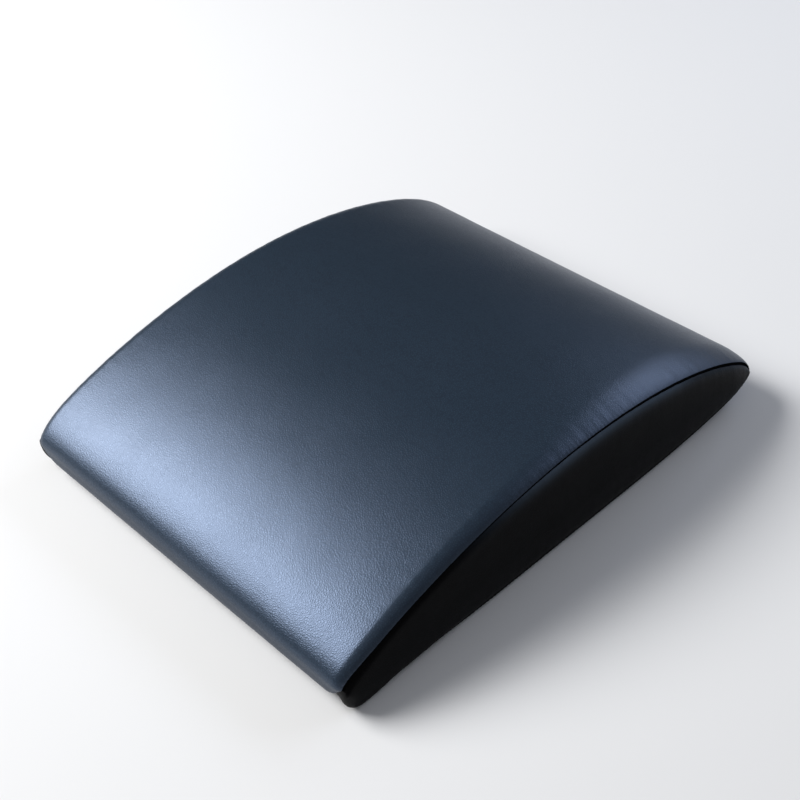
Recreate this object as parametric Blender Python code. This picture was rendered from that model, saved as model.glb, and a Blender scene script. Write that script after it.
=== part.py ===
"""Ab mat: a domed foam wedge in a sewn imitation-leather cover, closed by a zip under its rear lip.

+Y runs from the low front edge to the rear lip, +X to the right-hand side panel and +Z up.
The origin is on the floor, at the middle of the mat's length and width. All sizes are in metres.
"""

import math

import bmesh
import bpy
from mathutils import Matrix, Vector

# Overall shape, as the outline over the middle of the mat
MAT_LENGTH = 0.368
SEAM_HALF_WIDTH = 0.1447
FRONT_TIP_HEIGHT = 0.0205
FRONT_NOSE_LENGTH = 0.013
REAR_TIP_HEIGHT = 0.0165
REAR_LIFT_LENGTH = 0.122
DOME_RISE = 0.052
DOME_LEAN = 0.0072
DOME_FLATTENING = 0.0064

# Stuffed look: rolled edges, crown, drawn-in rear edge and rounded corners
ROLL_INSET = 0.010
TOP_ROLL_DEPTH = 0.007
EDGE_ROLL_DEPTH = 0.003
CROWN_RISE = 0.0025
REAR_DRAW_IN = 0.002
REAR_DRAW_LENGTH = 0.060
CORNER_INSET = 0.002
CORNER_LENGTH = 0.030
SIDE_BULGE = 0.0012
SIDE_BULGE_HEIGHT = 0.030
ROLL_FADE = 0.7

# Cover and seams
COVER_THICKNESS = 0.0012
SEAM_GAP = 0.0014
SEAM_THREAD_RADIUS = 0.0003
GAP = 0.0003

# Zip, measured across the chain from the middle of the zip
ZIP_FROM_REAR_TIP = 0.018
ZIP_SLOT_HALF_WIDTH = 0.007
TAPE_HALF_WIDTH = 0.0125
TAPE_THICKNESS = 0.0006
TAPE_END_LAP = 0.0025
TAPE_TAIL = 0.0232
SPINE_WIDTH = 0.0015
TOOTH_REACH = 0.0009
TOOTH_WIDTH = 0.0012
TOOTH_PITCH = 0.0030
TOOTH_THICKNESS = 0.0022
STOP_LENGTH = 0.0025

# Slider and pull
SLIDER_LENGTH = 0.012
WING_THICKNESS = 0.0009
FLANGE_WIDTH = 0.0010
POST_LENGTH = 0.0030
POST_WIDTH = 0.0020
POST_FROM_NOSE = 0.0012
BRIDGE_SPAN = 0.0082
BRIDGE_WIDTH = 0.0024
BRIDGE_THICKNESS = 0.0009
PULL_LENGTH = 0.024
PULL_WIDTH = 0.0068
PULL_THICKNESS = 0.0012
PULL_ARM_WIDTH = 0.0012
PULL_HOLE_RADIUS = 0.0014
CROSSBAR_RADIUS = 0.0007

# Relief in the foam behind the zip
RELIEF_MARGIN = 0.003

# Mesh steps
NOSE_STEPS = 4
FLAT_STEPS = 10
LIFT_STEPS = 5
ZIP_ZONE_STEPS = 3
LIP_STEPS = 4
ROLL_STEPS = 3
TOP_STEPS = 8
SIDE_STEPS = 4
TAPE_STEPS = 3
THREAD_SIDES = 6
PULL_END_STEPS = 6
HOLE_SIDES = 12
CROSSBAR_SIDES = 16
SHARP_DEGREES = 35.0
THREAD_SHARP_DEGREES = 80.0
OVERRUN = 0.005

# Worked out from the sizes above
HALF_LENGTH = MAT_LENGTH / 2
LIFT_START = MAT_LENGTH - REAR_LIFT_LENGTH
FOAM_INSET = COVER_THICKNESS + GAP
SPINE_INNER = TOOTH_REACH + GAP
SPINE_OUTER = SPINE_INNER + SPINE_WIDTH
TAPE_INNER = SPINE_OUTER + GAP
TAPE_DEPTH = COVER_THICKNESS + GAP
CHAIN_MID_DEPTH = TAPE_DEPTH + TAPE_THICKNESS / 2
CHAIN_TOP = CHAIN_MID_DEPTH - TOOTH_THICKNESS / 2
CHAIN_BOTTOM = CHAIN_MID_DEPTH + TOOTH_THICKNESS / 2
TAPE_HALF_LENGTH = SEAM_HALF_WIDTH - CORNER_INSET - ROLL_INSET + TAPE_END_LAP
CHAIN_LENGTH = 2.0 * (TAPE_HALF_LENGTH - TAPE_TAIL)
WING_HALF_WIDTH = TAPE_INNER + FLANGE_WIDTH
OUTER_WING = (CHAIN_TOP - GAP - WING_THICKNESS, CHAIN_TOP - GAP)
INNER_WING = (CHAIN_BOTTOM + GAP, CHAIN_BOTTOM + GAP + WING_THICKNESS)
SLIDER_REST_X = (CHAIN_LENGTH - SLIDER_LENGTH) / 2
POST_X = SLIDER_REST_X + SLIDER_LENGTH / 2 - POST_FROM_NOSE - POST_LENGTH / 2
PIVOT_DEPTH = OUTER_WING[0] - GAP - CROSSBAR_RADIUS
BRIDGE_UNDERSIDE = PIVOT_DEPTH - CROSSBAR_RADIUS - GAP
RELIEF_DEPTH = INNER_WING[1] + GAP


def clear_scene():
    """Removes every object that the file starts with."""
    for item in list(bpy.data.objects):
        bpy.data.objects.remove(item, do_unlink=True)


def make_finish(name, colour, roughness, metallic=0.0):
    """A plain Principled material."""
    finish = bpy.data.materials.new(name)
    finish.use_nodes = True
    shader = finish.node_tree.nodes["Principled BSDF"]
    shader.inputs["Base Color"].default_value = (*colour, 1.0)
    shader.inputs["Roughness"].default_value = roughness
    shader.inputs["Metallic"].default_value = metallic
    finish.diffuse_color = (*colour, 1.0)
    return finish


def add_object(name, points, faces, finish, parent=None):
    """One mesh object from points and faces, in the frame of its parent."""
    mesh = bpy.data.meshes.new(name)
    mesh.from_pydata([tuple(point) for point in points], [], faces)
    mesh.materials.append(finish)
    item = bpy.data.objects.new(name, mesh)
    item.parent = parent
    bpy.context.collection.objects.link(item)
    return item


def face_outwards(item):
    """Turns a closed mesh's faces outwards."""
    work = bmesh.new()
    work.from_mesh(item.data)
    bmesh.ops.recalc_face_normals(work, faces=work.faces)
    work.to_mesh(item.data)
    work.free()


def shade_round(item, sharp_degrees=SHARP_DEGREES):
    """Shades a mesh smooth and keeps its sharp edges."""
    item.data.shade_smooth()
    item.data.set_sharp_from_angle(angle=math.radians(sharp_degrees))


def thicken(item, thickness):
    """Gives an open sheet its thickness, inwards from its outer face."""
    skin = item.modifiers.new("thickness", "SOLIDIFY")
    skin.thickness = thickness
    skin.offset = -1.0
    skin.use_even_offset = True
    skin.use_quality_normals = True


def as_cutter(item):
    """Marks an object as a tool that shapes another."""
    item.hide_render = True
    item.display_type = "WIRE"


def combine(item, tool, operation):
    """Adds a Boolean of a tool object to an item."""
    as_cutter(tool)
    step = item.modifiers.new(tool.name, "BOOLEAN")
    step.operation = operation
    step.solver = "EXACT"
    step.object = tool


# Outline of the mat

class Station:
    """One place on the outline that runs round the mat from front tip to rear tip and back below."""

    def __init__(self, y, z, depth, crown=0.0, draw=0.0):
        tip_distance = min(y, MAT_LENGTH - y)
        corner = max(0.0, 1.0 - tip_distance / CORNER_LENGTH) ** 2
        self.y = y
        self.z = z
        self.depth = depth
        self.crown = crown
        self.draw = draw
        self.half_width = SEAM_HALF_WIDTH - CORNER_INSET * corner
        self.normal = (0.0, 1.0)

    def at(self, x, inwards):
        """A point at width x, a distance inwards from the outline."""
        return Vector((
            x,
            self.y - self.normal[0] * inwards - HALF_LENGTH,
            self.z - self.normal[1] * inwards,
        ))


def dome_height(y):
    """Height of the outline's upper side at a distance from the front tip."""
    turn = math.acos(1.0 - 2.0 * y / MAT_LENGTH)
    part = turn / math.pi
    swell = DOME_RISE - DOME_LEAN * math.cos(turn) - DOME_FLATTENING * math.cos(2.0 * turn)
    tips = FRONT_TIP_HEIGHT * (1.0 - part) + REAR_TIP_HEIGHT * part
    return tips + swell * math.sin(turn)


def lift_point(angle):
    """Point of the rear underside, a quarter ellipse from the flat base (0) up to the rear tip."""
    y = LIFT_START + REAR_LIFT_LENGTH * math.sin(angle)
    return y, REAR_TIP_HEIGHT * (1.0 - math.cos(angle))


def lift_normal(angle):
    """Outward direction of the rear underside as (y, z)."""
    along = Vector((REAR_LIFT_LENGTH * math.cos(angle), REAR_TIP_HEIGHT * math.sin(angle)))
    along.normalize()
    return along[1], -along[0]


ZIP_ANGLE = math.asin((REAR_LIFT_LENGTH - ZIP_FROM_REAR_TIP) / REAR_LIFT_LENGTH)
ZIP_SPEED = math.hypot(
    REAR_LIFT_LENGTH * math.cos(ZIP_ANGLE), REAR_TIP_HEIGHT * math.sin(ZIP_ANGLE)
)


def lift_angle(across):
    """Angle of the rear underside at a distance across the zip, positive towards the rear."""
    return ZIP_ANGLE + across / ZIP_SPEED


def lower_angles():
    """Angles of the rear underside from the flat base to the rear tip."""
    zip_front = lift_angle(-ZIP_SLOT_HALF_WIDTH)
    zip_rear = lift_angle(ZIP_SLOT_HALF_WIDTH)
    rise = [zip_front * step / LIFT_STEPS for step in range(1, LIFT_STEPS + 1)]
    zone = [ZIP_ANGLE, lift_angle(ZIP_SLOT_HALF_WIDTH - SEAM_GAP), zip_rear]
    lip = [
        zip_rear + (math.pi / 2 - zip_rear) * step / LIP_STEPS
        for step in range(1, LIP_STEPS + 1)
    ]
    return rise + zone + lip


def lower_outline():
    """Points of the underside as (y, z), from the front tip to the rear tip."""
    nose = [math.pi / 2 * (1.0 - step / NOSE_STEPS) for step in range(NOSE_STEPS + 1)]
    points = [
        (FRONT_NOSE_LENGTH * (1.0 - math.sin(turn)), FRONT_TIP_HEIGHT * (1.0 - math.cos(turn)))
        for turn in nose
    ]
    flat = LIFT_START - FRONT_NOSE_LENGTH
    points += [
        (FRONT_NOSE_LENGTH + flat * step / FLAT_STEPS, 0.0) for step in range(1, FLAT_STEPS + 1)
    ]
    return points + [lift_point(angle) for angle in lower_angles()]


def outline_ring():
    """Stations round the mat: front tip, dome, rear tip, then the underside back to the front."""
    lower = lower_outline()
    last = len(lower) - 1
    lip_edge = lift_point(lift_angle(ZIP_SLOT_HALF_WIDTH))[1]
    ring = []
    for place, (y, z) in enumerate(lower):
        if 0 < place < last:
            z = dome_height(y)
        turn = math.acos(1.0 - 2.0 * y / MAT_LENGTH)
        swell = math.sin(turn)
        depth = EDGE_ROLL_DEPTH + (TOP_ROLL_DEPTH - EDGE_ROLL_DEPTH) * swell ** ROLL_FADE
        draw = max(0.0, 1.0 - (MAT_LENGTH - y) / REAR_DRAW_LENGTH) ** 2
        ring.append(Station(y, z, depth, crown=swell, draw=draw))
    for y, z in reversed(lower[1:last]):
        draw = max(0.0, (z - lip_edge) / (REAR_TIP_HEIGHT - lip_edge)) if y > LIFT_START else 0.0
        ring.append(Station(y, z, EDGE_ROLL_DEPTH, draw=draw))
    for place, station in enumerate(ring):
        before = ring[place - 1]
        after = ring[(place + 1) % len(ring)]
        along = Vector((after.y - before.y, after.z - before.z))
        along.normalize()
        station.normal = (-along[1], along[0])
    return ring


def crossing(station):
    """Points across the mat at one station, from the left seam to the right seam."""
    half = station.half_width
    crest = half - ROLL_INSET
    rolled = []
    for step in range(ROLL_STEPS):
        turn = math.pi / 2 * step / ROLL_STEPS
        x = half - ROLL_INSET * (1.0 - math.cos(turn))
        rolled.append((x, station.depth * (1.0 - math.sin(turn))))
    left = [station.at(-x, depth) for x, depth in rolled]
    right = [station.at(x, depth) for x, depth in reversed(rolled)]
    middle = []
    for step in range(TOP_STEPS + 1):
        share = 2.0 * step / TOP_STEPS - 1.0
        point = station.at(crest * share, 0.0)
        arch = 1.0 - share * share
        point.z += CROWN_RISE * station.crown * arch
        point.y -= REAR_DRAW_IN * station.draw * arch
        middle.append(point)
    return left + middle + right


RING = outline_ring()
REAR_TIP = len(RING) // 2
FRONT_SEAM = len(RING) - NOSE_STEPS
LIP_EDGE = REAR_TIP + LIP_STEPS
ZIP_FRONT_EDGE = LIP_EDGE + ZIP_ZONE_STEPS
COLUMNS = 2 * ROLL_STEPS + TOP_STEPS


def moved_towards(point, target, distance):
    """A point shifted a distance towards another."""
    return point + (target - point).normalized() * distance


def panel_rows(first, last):
    """Rows of points for the wrapped panels, trimmed back from the side seams."""
    rows = []
    for place in range(first, last + 1):
        row = crossing(RING[place % len(RING)])
        row[0] = moved_towards(row[0], row[1], SEAM_GAP / 2)
        row[-1] = moved_towards(row[-1], row[-2], SEAM_GAP / 2)
        rows.append(row)
    return rows


def trim_row(rows, end, neighbour):
    """Draws one end row of a panel back from the seam across the mat."""
    rows[end] = [
        moved_towards(point, target, SEAM_GAP / 2)
        for point, target in zip(rows[end], rows[neighbour])
    ]


def sheet_from_rows(name, rows, finish, keep=None):
    """An open sheet from rows of points, leaving out the faces that keep refuses."""
    faces = []
    width = len(rows[0])
    for row in range(len(rows) - 1):
        for column in range(width - 1):
            if keep is None or keep(row, column):
                start = row * width + column
                faces.append((start, start + 1, start + width + 1, start + width))
    used = sorted({corner for face in faces for corner in face})
    place = {corner: index for index, corner in enumerate(used)}
    points = [rows[corner // width][corner % width] for corner in used]
    faces = [tuple(place[corner] for corner in face) for face in faces]
    return add_object(name, points, faces, finish)


# Cover, thread and foam

def build_top_cover(finish):
    """Top panel: from the front base seam round the nose, over the dome and round the rear lip."""
    rows = panel_rows(FRONT_SEAM, len(RING) + LIP_EDGE)
    trim_row(rows, 0, 1)
    cover = sheet_from_rows("top_cover", rows, finish)
    thicken(cover, COVER_THICKNESS)
    shade_round(cover)


def build_base_panel(finish):
    """Base panel: flat underneath, up the rear lift to the zip, with an ear beside each zip end."""
    first = LIP_EDGE + 1
    rows = panel_rows(first, FRONT_SEAM)
    trim_row(rows, -1, -2)
    zone_rows = ZIP_FRONT_EDGE - first

    def keep(row, column):
        beside_zip = column < ROLL_STEPS or column >= COLUMNS - ROLL_STEPS
        return row >= zone_rows or beside_zip

    base = sheet_from_rows("base_panel", rows, finish, keep)
    thicken(base, COVER_THICKNESS)
    shade_round(base)


def side_point(station, share, other):
    """Point of the side panel between an upper and a lower station, share 0 at the upper one."""
    trim = SEAM_GAP / 2
    top = station.at(station.half_width, station.depth + trim)
    bottom = other.at(other.half_width, other.depth + trim)
    point = top.lerp(bottom, share)
    height = min(1.0, (top - bottom).length / SIDE_BULGE_HEIGHT)
    point.x += SIDE_BULGE * height * 4.0 * share * (1.0 - share)
    return point


def build_side_panel(name, side, finish):
    """Side panel, a crescent between the top seam and the base seam, slightly bulged."""
    points = [side_point(RING[0], 0.0, RING[0])]
    for place in range(1, REAR_TIP):
        upper = RING[place]
        lower = RING[len(RING) - place]
        points += [
            side_point(upper, step / SIDE_STEPS, lower) for step in range(SIDE_STEPS + 1)
        ]
    points.append(side_point(RING[REAR_TIP], 0.0, RING[REAR_TIP]))
    width = SIDE_STEPS + 1
    faces = []
    for step in range(SIDE_STEPS):
        faces.append((0, 2 + step, 1 + step))
        end = 1 + (REAR_TIP - 2) * width + step
        faces.append((end, end + 1, len(points) - 1))
    for place in range(REAR_TIP - 2):
        for step in range(SIDE_STEPS):
            start = 1 + place * width + step
            faces.append((start, start + 1, start + width + 1, start + width))
    if side < 0:
        points = [Vector((-point.x, point.y, point.z)) for point in points]
        faces = [tuple(reversed(face)) for face in faces]
    panel = add_object(name, points, faces, finish)
    thicken(panel, COVER_THICKNESS)
    shade_round(panel)


def tube_faces(rings, sides, closed):
    """Faces of a tube through rings of points, closed into a loop or capped at both ends."""
    faces = []
    for ring in range(rings if closed else rings - 1):
        following = (ring + 1) % rings
        for side in range(sides):
            turn = (side + 1) % sides
            faces.append((
                ring * sides + side,
                ring * sides + turn,
                following * sides + turn,
                following * sides + side,
            ))
    if not closed:
        faces.append(tuple(range(sides)))
        faces.append(tuple((rings - 1) * sides + side for side in range(sides)))
    return faces


def build_side_thread(name, side, finish):
    """Sewing thread in the groove round one side panel, one unbroken loop."""
    points = []
    for station in RING:
        for corner in range(THREAD_SIDES):
            turn = 2.0 * math.pi * corner / THREAD_SIDES
            x = station.half_width - SEAM_THREAD_RADIUS + SEAM_THREAD_RADIUS * math.cos(turn)
            points.append(
                station.at(side * x, station.depth - SEAM_THREAD_RADIUS * math.sin(turn))
            )
    thread = add_object(name, points, tube_faces(len(RING), THREAD_SIDES, True), finish)
    face_outwards(thread)
    shade_round(thread, THREAD_SHARP_DEGREES)


def build_base_thread(finish):
    """Sewing thread in the seam across the front of the base."""
    seam = RING[FRONT_SEAM]
    half = seam.half_width - ROLL_INSET
    points = []
    for x in (-half, half):
        for corner in range(THREAD_SIDES):
            turn = 2.0 * math.pi * corner / THREAD_SIDES
            centre = seam.at(x, COVER_THICKNESS / 2)
            centre.y += SEAM_THREAD_RADIUS * math.cos(turn)
            centre.z += SEAM_THREAD_RADIUS * math.sin(turn)
            points.append(centre)
    thread = add_object("base_seam_thread", points, tube_faces(2, THREAD_SIDES, False), finish)
    face_outwards(thread)
    shade_round(thread, THREAD_SHARP_DEGREES)


def build_foam_core(finish, zip_frame):
    """Foam block that fills the cover, with a relief for the zip's inner wing."""
    rows = [crossing(station) for station in RING]
    width = len(rows[0])
    count = len(rows)
    points = [point for row in rows for point in row]
    faces = []
    for row in range(count):
        following = (row + 1) % count
        for column in range(width - 1):
            faces.append((
                row * width + column,
                row * width + column + 1,
                following * width + column + 1,
                following * width + column,
            ))
    for edge in (0, width - 1):
        faces.append((edge, width + edge, (count - 1) * width + edge))
        for place in range(1, REAR_TIP - 1):
            upper = place * width + edge
            lower = (count - place) * width + edge
            faces.append((upper, upper + width, lower - width, lower))
        last = (REAR_TIP - 1) * width + edge
        faces.append((last, last + width, last + 2 * width))
    core = add_object("foam_core", points, faces, finish)
    face_outwards(core)
    work = bmesh.new()
    work.from_mesh(core.data)
    work.normal_update()
    moves = [
        (vert, vert.normal * (vert.calc_shell_factor() * FOAM_INSET)) for vert in work.verts
    ]
    for vert, move in moves:
        vert.co -= move
    work.to_mesh(core.data)
    work.free()
    relief = zip_box(
        "zip_relief",
        (-SEAM_HALF_WIDTH - OVERRUN, SEAM_HALF_WIDTH + OVERRUN),
        (-TAPE_HALF_WIDTH - RELIEF_MARGIN, TAPE_HALF_WIDTH + RELIEF_MARGIN),
        (-OVERRUN, RELIEF_DEPTH),
        finish,
        zip_frame,
    )
    combine(core, relief, "DIFFERENCE")
    shade_round(core)


# Zip, built in a frame at the middle of the chain: x along it, y across it, z into the mat

def make_zip_frame():
    """Empty on the outer surface of the rear lift, its z axis pointing into the mat."""
    y, z = lift_point(ZIP_ANGLE)
    out_y, out_z = lift_normal(ZIP_ANGLE)
    frame = bpy.data.objects.new("zip_frame", None)
    frame.location = (0.0, y - HALF_LENGTH, z)
    frame.rotation_euler = (math.atan2(out_y, -out_z), 0.0, 0.0)
    bpy.context.collection.objects.link(frame)
    return frame


def zip_box(name, xs, ys, zs, finish, parent):
    """A box between pairs of limits, in its parent's frame."""
    points = [Vector((x, y, z)) for x in xs for y in ys for z in zs]
    faces = [(0, 1, 3, 2), (4, 6, 7, 5), (0, 4, 5, 1), (2, 3, 7, 6), (0, 2, 6, 4), (1, 5, 7, 3)]
    box = add_object(name, points, faces, finish, parent)
    face_outwards(box)
    return box


def extruded(name, outline, zs, finish, parent):
    """A flat outline of (x, y) points given a thickness between two heights."""
    count = len(outline)
    points = [Vector((x, y, zs[0])) for x, y in outline]
    points += [Vector((x, y, zs[1])) for x, y in outline]
    faces = [tuple(range(count)), tuple(range(count, 2 * count))]
    for corner in range(count):
        following = (corner + 1) % count
        faces.append((corner, following, count + following, count + corner))
    solid = add_object(name, points, faces, finish, parent)
    face_outwards(solid)
    return solid


def build_tape(name, side, finish):
    """One zip tape, curved as the rear lift is; past the stops its inner edge meets the other tape's."""
    tail_start = CHAIN_LENGTH / 2 + STOP_LENGTH + 2.0 * GAP
    columns = (-TAPE_HALF_LENGTH, -tail_start, tail_start, TAPE_HALF_LENGTH)
    width = TAPE_HALF_WIDTH - TAPE_INNER
    edges = [GAP / 2] + [TAPE_INNER + width * step / TAPE_STEPS for step in range(TAPE_STEPS + 1)]
    rows = []
    for across in sorted((side * edge for edge in edges), reverse=True):
        angle = lift_angle(across)
        y, z = lift_point(angle)
        out_y, out_z = lift_normal(angle)
        outer_y = y - out_y * TAPE_DEPTH - HALF_LENGTH
        outer_z = z - out_z * TAPE_DEPTH
        rows.append([Vector((x, outer_y, outer_z)) for x in columns])
    inner_row = TAPE_STEPS if side > 0 else 0

    def keep(row, column):
        return row != inner_row or column != 1

    tape = sheet_from_rows(name, rows, finish, keep)
    thicken(tape, TAPE_THICKNESS)
    shade_round(tape)


def build_teeth(name, side, offset, finish, parent):
    """One row of moulded teeth on its spine, interlocking with the other row."""
    start = -CHAIN_LENGTH / 2 + GAP
    end = POST_X - POST_LENGTH / 2 - GAP
    count = int((end - start - offset - TOOTH_WIDTH) / TOOTH_PITCH) + 1
    outline = [(start, side * SPINE_OUTER), (start, side * SPINE_INNER)]
    for tooth in range(count):
        left = start + offset + tooth * TOOTH_PITCH
        right = left + TOOTH_WIDTH
        outline += [
            (left, side * SPINE_INNER),
            (left, -side * TOOTH_REACH),
            (right, -side * TOOTH_REACH),
            (right, side * SPINE_INNER),
        ]
    outline += [(end, side * SPINE_INNER), (end, side * SPINE_OUTER)]
    extruded(name, outline, (CHAIN_TOP, CHAIN_BOTTOM), finish, parent)


def build_stops(finish, parent):
    """Top stops, one on each tape, and the bottom stop that joins both."""
    heights = (CHAIN_TOP, CHAIN_BOTTOM)
    near = CHAIN_LENGTH / 2 + GAP
    for name, side in (("zip_top_stop_front", -1), ("zip_top_stop_rear", 1)):
        ys = sorted((side * SPINE_INNER, side * SPINE_OUTER))
        zip_box(name, (near, near + STOP_LENGTH), ys, heights, finish, parent)
    ys = (-SPINE_OUTER, SPINE_OUTER)
    zip_box("zip_bottom_stop", (-near - STOP_LENGTH, -near), ys, heights, finish, parent)


def build_slider(finish, parent):
    """Slider: two wings joined by a post, flanges beside the chain and a bridge for the pull."""
    tail = SLIDER_REST_X - SLIDER_LENGTH / 2
    nose = SLIDER_REST_X + SLIDER_LENGTH / 2
    chamfer = FLANGE_WIDTH
    plan = [
        (tail, -WING_HALF_WIDTH),
        (nose - chamfer, -WING_HALF_WIDTH),
        (nose, -WING_HALF_WIDTH + chamfer),
        (nose, WING_HALF_WIDTH - chamfer),
        (nose - chamfer, WING_HALF_WIDTH),
        (tail, WING_HALF_WIDTH),
    ]
    slider = extruded("zip_slider", plan, OUTER_WING, finish, parent)
    sink = WING_THICKNESS / 2
    inner = extruded("slider_inner_wing", plan, INNER_WING, finish, parent)
    post = zip_box(
        "slider_post",
        (POST_X - POST_LENGTH / 2, POST_X + POST_LENGTH / 2),
        (-POST_WIDTH / 2, POST_WIDTH / 2),
        (OUTER_WING[1] - sink, INNER_WING[0] + sink),
        finish,
        parent,
    )
    tools = [post, inner]
    outer_lip = TAPE_DEPTH - GAP
    inner_lip = TAPE_DEPTH + TAPE_THICKNESS + GAP
    for side in (-1, 1):
        ys = sorted((side * TAPE_INNER, side * WING_HALF_WIDTH))
        for wing, zs in (
            ("outer", (OUTER_WING[1] - sink, outer_lip)),
            ("inner", (inner_lip, INNER_WING[0] + sink)),
        ):
            label = "slider_%s_flange_%s" % (wing, "rear" if side > 0 else "front")
            tools.append(zip_box(label, (tail, nose - chamfer), ys, zs, finish, parent))
    half_span = BRIDGE_SPAN / 2
    ys = (-BRIDGE_WIDTH / 2, BRIDGE_WIDTH / 2)
    crown = BRIDGE_UNDERSIDE - BRIDGE_THICKNESS
    for label, low, high in (("tail", -half_span, -half_span + BRIDGE_THICKNESS),
                             ("nose", half_span - BRIDGE_THICKNESS, half_span)):
        xs = (SLIDER_REST_X + low, SLIDER_REST_X + high)
        foot = (crown + BRIDGE_THICKNESS / 2, OUTER_WING[0] + sink)
        tools.append(zip_box("slider_bridge_" + label, xs, ys, foot, finish, parent))
    xs = (SLIDER_REST_X - half_span, SLIDER_REST_X + half_span)
    tools.append(zip_box("slider_bridge", xs, ys, (crown, BRIDGE_UNDERSIDE), finish, parent))
    for tool in tools:
        combine(slider, tool, "UNION")


def pull_droop(zip_frame):
    """Angle at which the pull's tip hangs just above the floor."""
    tilt = zip_frame.rotation_euler.x
    pivot = zip_frame.location.z + PIVOT_DEPTH * math.cos(tilt)
    drop = pivot - PULL_THICKNESS / 2 - 2.0 * GAP
    return math.asin(drop / (PULL_LENGTH * math.cos(tilt)))


def build_pull(finish, zip_frame):
    """Pull tab: its round crossbar turns under the slider's bridge, and it hangs towards the floor."""
    hinge = bpy.data.objects.new("pull_hinge", None)
    hinge.parent = zip_frame
    hinge.location = (SLIDER_REST_X, 0.0, PIVOT_DEPTH)
    hinge.rotation_euler = (0.0, -pull_droop(zip_frame), 0.0)
    bpy.context.collection.objects.link(hinge)
    half = PULL_WIDTH / 2
    plate = PULL_THICKNESS / 2
    straight = PULL_LENGTH - half
    outline = [(0.0, -half), (0.0, half)]
    for step in range(PULL_END_STEPS + 1):
        turn = math.pi * step / PULL_END_STEPS
        outline.append((-straight - half * math.sin(turn), half * math.cos(turn)))
    pull = extruded("zip_pull", outline, (-plate, plate), finish, hinge)
    reach = math.hypot(BRIDGE_SPAN / 2, PIVOT_DEPTH - BRIDGE_UNDERSIDE + BRIDGE_THICKNESS)
    window = zip_box(
        "pull_window",
        (-reach - PULL_THICKNESS, OVERRUN),
        (-half + PULL_ARM_WIDTH, half - PULL_ARM_WIDTH),
        (-OVERRUN, OVERRUN),
        finish,
        hinge,
    )
    combine(pull, window, "DIFFERENCE")
    circle = []
    for corner in range(HOLE_SIDES):
        turn = 2.0 * math.pi * corner / HOLE_SIDES
        circle.append((
            -straight + PULL_HOLE_RADIUS * math.cos(turn),
            PULL_HOLE_RADIUS * math.sin(turn),
        ))
    hole = extruded("pull_hole", circle, (-OVERRUN, OVERRUN), finish, hinge)
    combine(pull, hole, "DIFFERENCE")
    bar_points = []
    for y in (-half, half):
        for corner in range(CROSSBAR_SIDES):
            turn = 2.0 * math.pi * corner / CROSSBAR_SIDES
            bar_points.append(
                (CROSSBAR_RADIUS * math.cos(turn), y, CROSSBAR_RADIUS * math.sin(turn))
            )
    faces = tube_faces(2, CROSSBAR_SIDES, False)
    crossbar = add_object("pull_crossbar", bar_points, faces, finish, hinge)
    face_outwards(crossbar)
    combine(pull, crossbar, "UNION")


def build_mat():
    """Builds every piece of the mat."""
    clear_scene()
    leather = make_finish("black_imitation_leather", (0.021, 0.030, 0.040), 0.42)
    side_leather = make_finish("black_side_leather", (0.008, 0.008, 0.010), 0.50)
    base_vinyl = make_finish("black_nonslip_vinyl", (0.012, 0.012, 0.013), 0.75)
    foam = make_finish("grey_foam", (0.16, 0.16, 0.17), 0.95)
    thread = make_finish("black_thread", (0.006, 0.006, 0.008), 0.70)
    tape = make_finish("black_zip_tape", (0.010, 0.010, 0.011), 0.85)
    teeth = make_finish("black_moulded_teeth", (0.014, 0.014, 0.015), 0.35)
    metal = make_finish("black_enamelled_zinc", (0.020, 0.020, 0.022), 0.35, 0.6)

    zip_frame = make_zip_frame()
    bpy.context.view_layer.update()
    build_foam_core(foam, zip_frame)
    build_top_cover(leather)
    build_base_panel(base_vinyl)
    for name, side in (("right", 1), ("left", -1)):
        build_side_panel("side_panel_" + name, side, side_leather)
        build_side_thread("seam_thread_" + name, side, thread)
    build_base_thread(thread)
    build_tape("zip_tape_front", -1, tape)
    build_tape("zip_tape_rear", 1, tape)
    build_teeth("zip_teeth_front", -1, 0.0, teeth, zip_frame)
    build_teeth("zip_teeth_rear", 1, TOOTH_PITCH / 2, teeth, zip_frame)
    build_stops(metal, zip_frame)
    build_slider(metal, zip_frame)
    build_pull(metal, zip_frame)
    bpy.context.view_layer.update()


build_mat()
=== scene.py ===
"""Ab mat, dressed: a domed foam sit-up mat in a sewn imitation-leather cover.

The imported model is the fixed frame, in metres: +Y runs from the low front edge to the rear lip, +X to
the right-hand side panel and +Z up. The soft pieces are built again here in full detail, in the space
that their plain solids hold. The zip's hard pieces keep their solids and are given their finish.
"""

import logging
import math
from collections.abc import Callable
from dataclasses import dataclass, field, fields
from enum import Enum

import bmesh
import bpy
import numpy as np
from mathutils import Matrix, Vector


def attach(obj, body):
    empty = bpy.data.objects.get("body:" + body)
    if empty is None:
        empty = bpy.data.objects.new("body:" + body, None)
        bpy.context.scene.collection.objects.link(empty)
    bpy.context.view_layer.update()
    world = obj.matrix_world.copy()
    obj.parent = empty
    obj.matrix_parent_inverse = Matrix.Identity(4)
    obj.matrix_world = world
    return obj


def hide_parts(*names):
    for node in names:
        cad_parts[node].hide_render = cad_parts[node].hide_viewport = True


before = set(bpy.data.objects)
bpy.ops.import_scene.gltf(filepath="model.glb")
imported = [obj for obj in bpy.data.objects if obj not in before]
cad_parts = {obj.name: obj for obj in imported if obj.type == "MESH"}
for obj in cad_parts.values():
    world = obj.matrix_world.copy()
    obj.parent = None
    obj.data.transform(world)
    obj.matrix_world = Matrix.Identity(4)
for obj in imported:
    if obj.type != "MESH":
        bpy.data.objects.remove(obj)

LOG = logging.getLogger("ab_mat")
MM = 0.001
TINY = 1e-12
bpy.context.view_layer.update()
SEAM_MARK_REACH = 4.5 * MM

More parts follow.
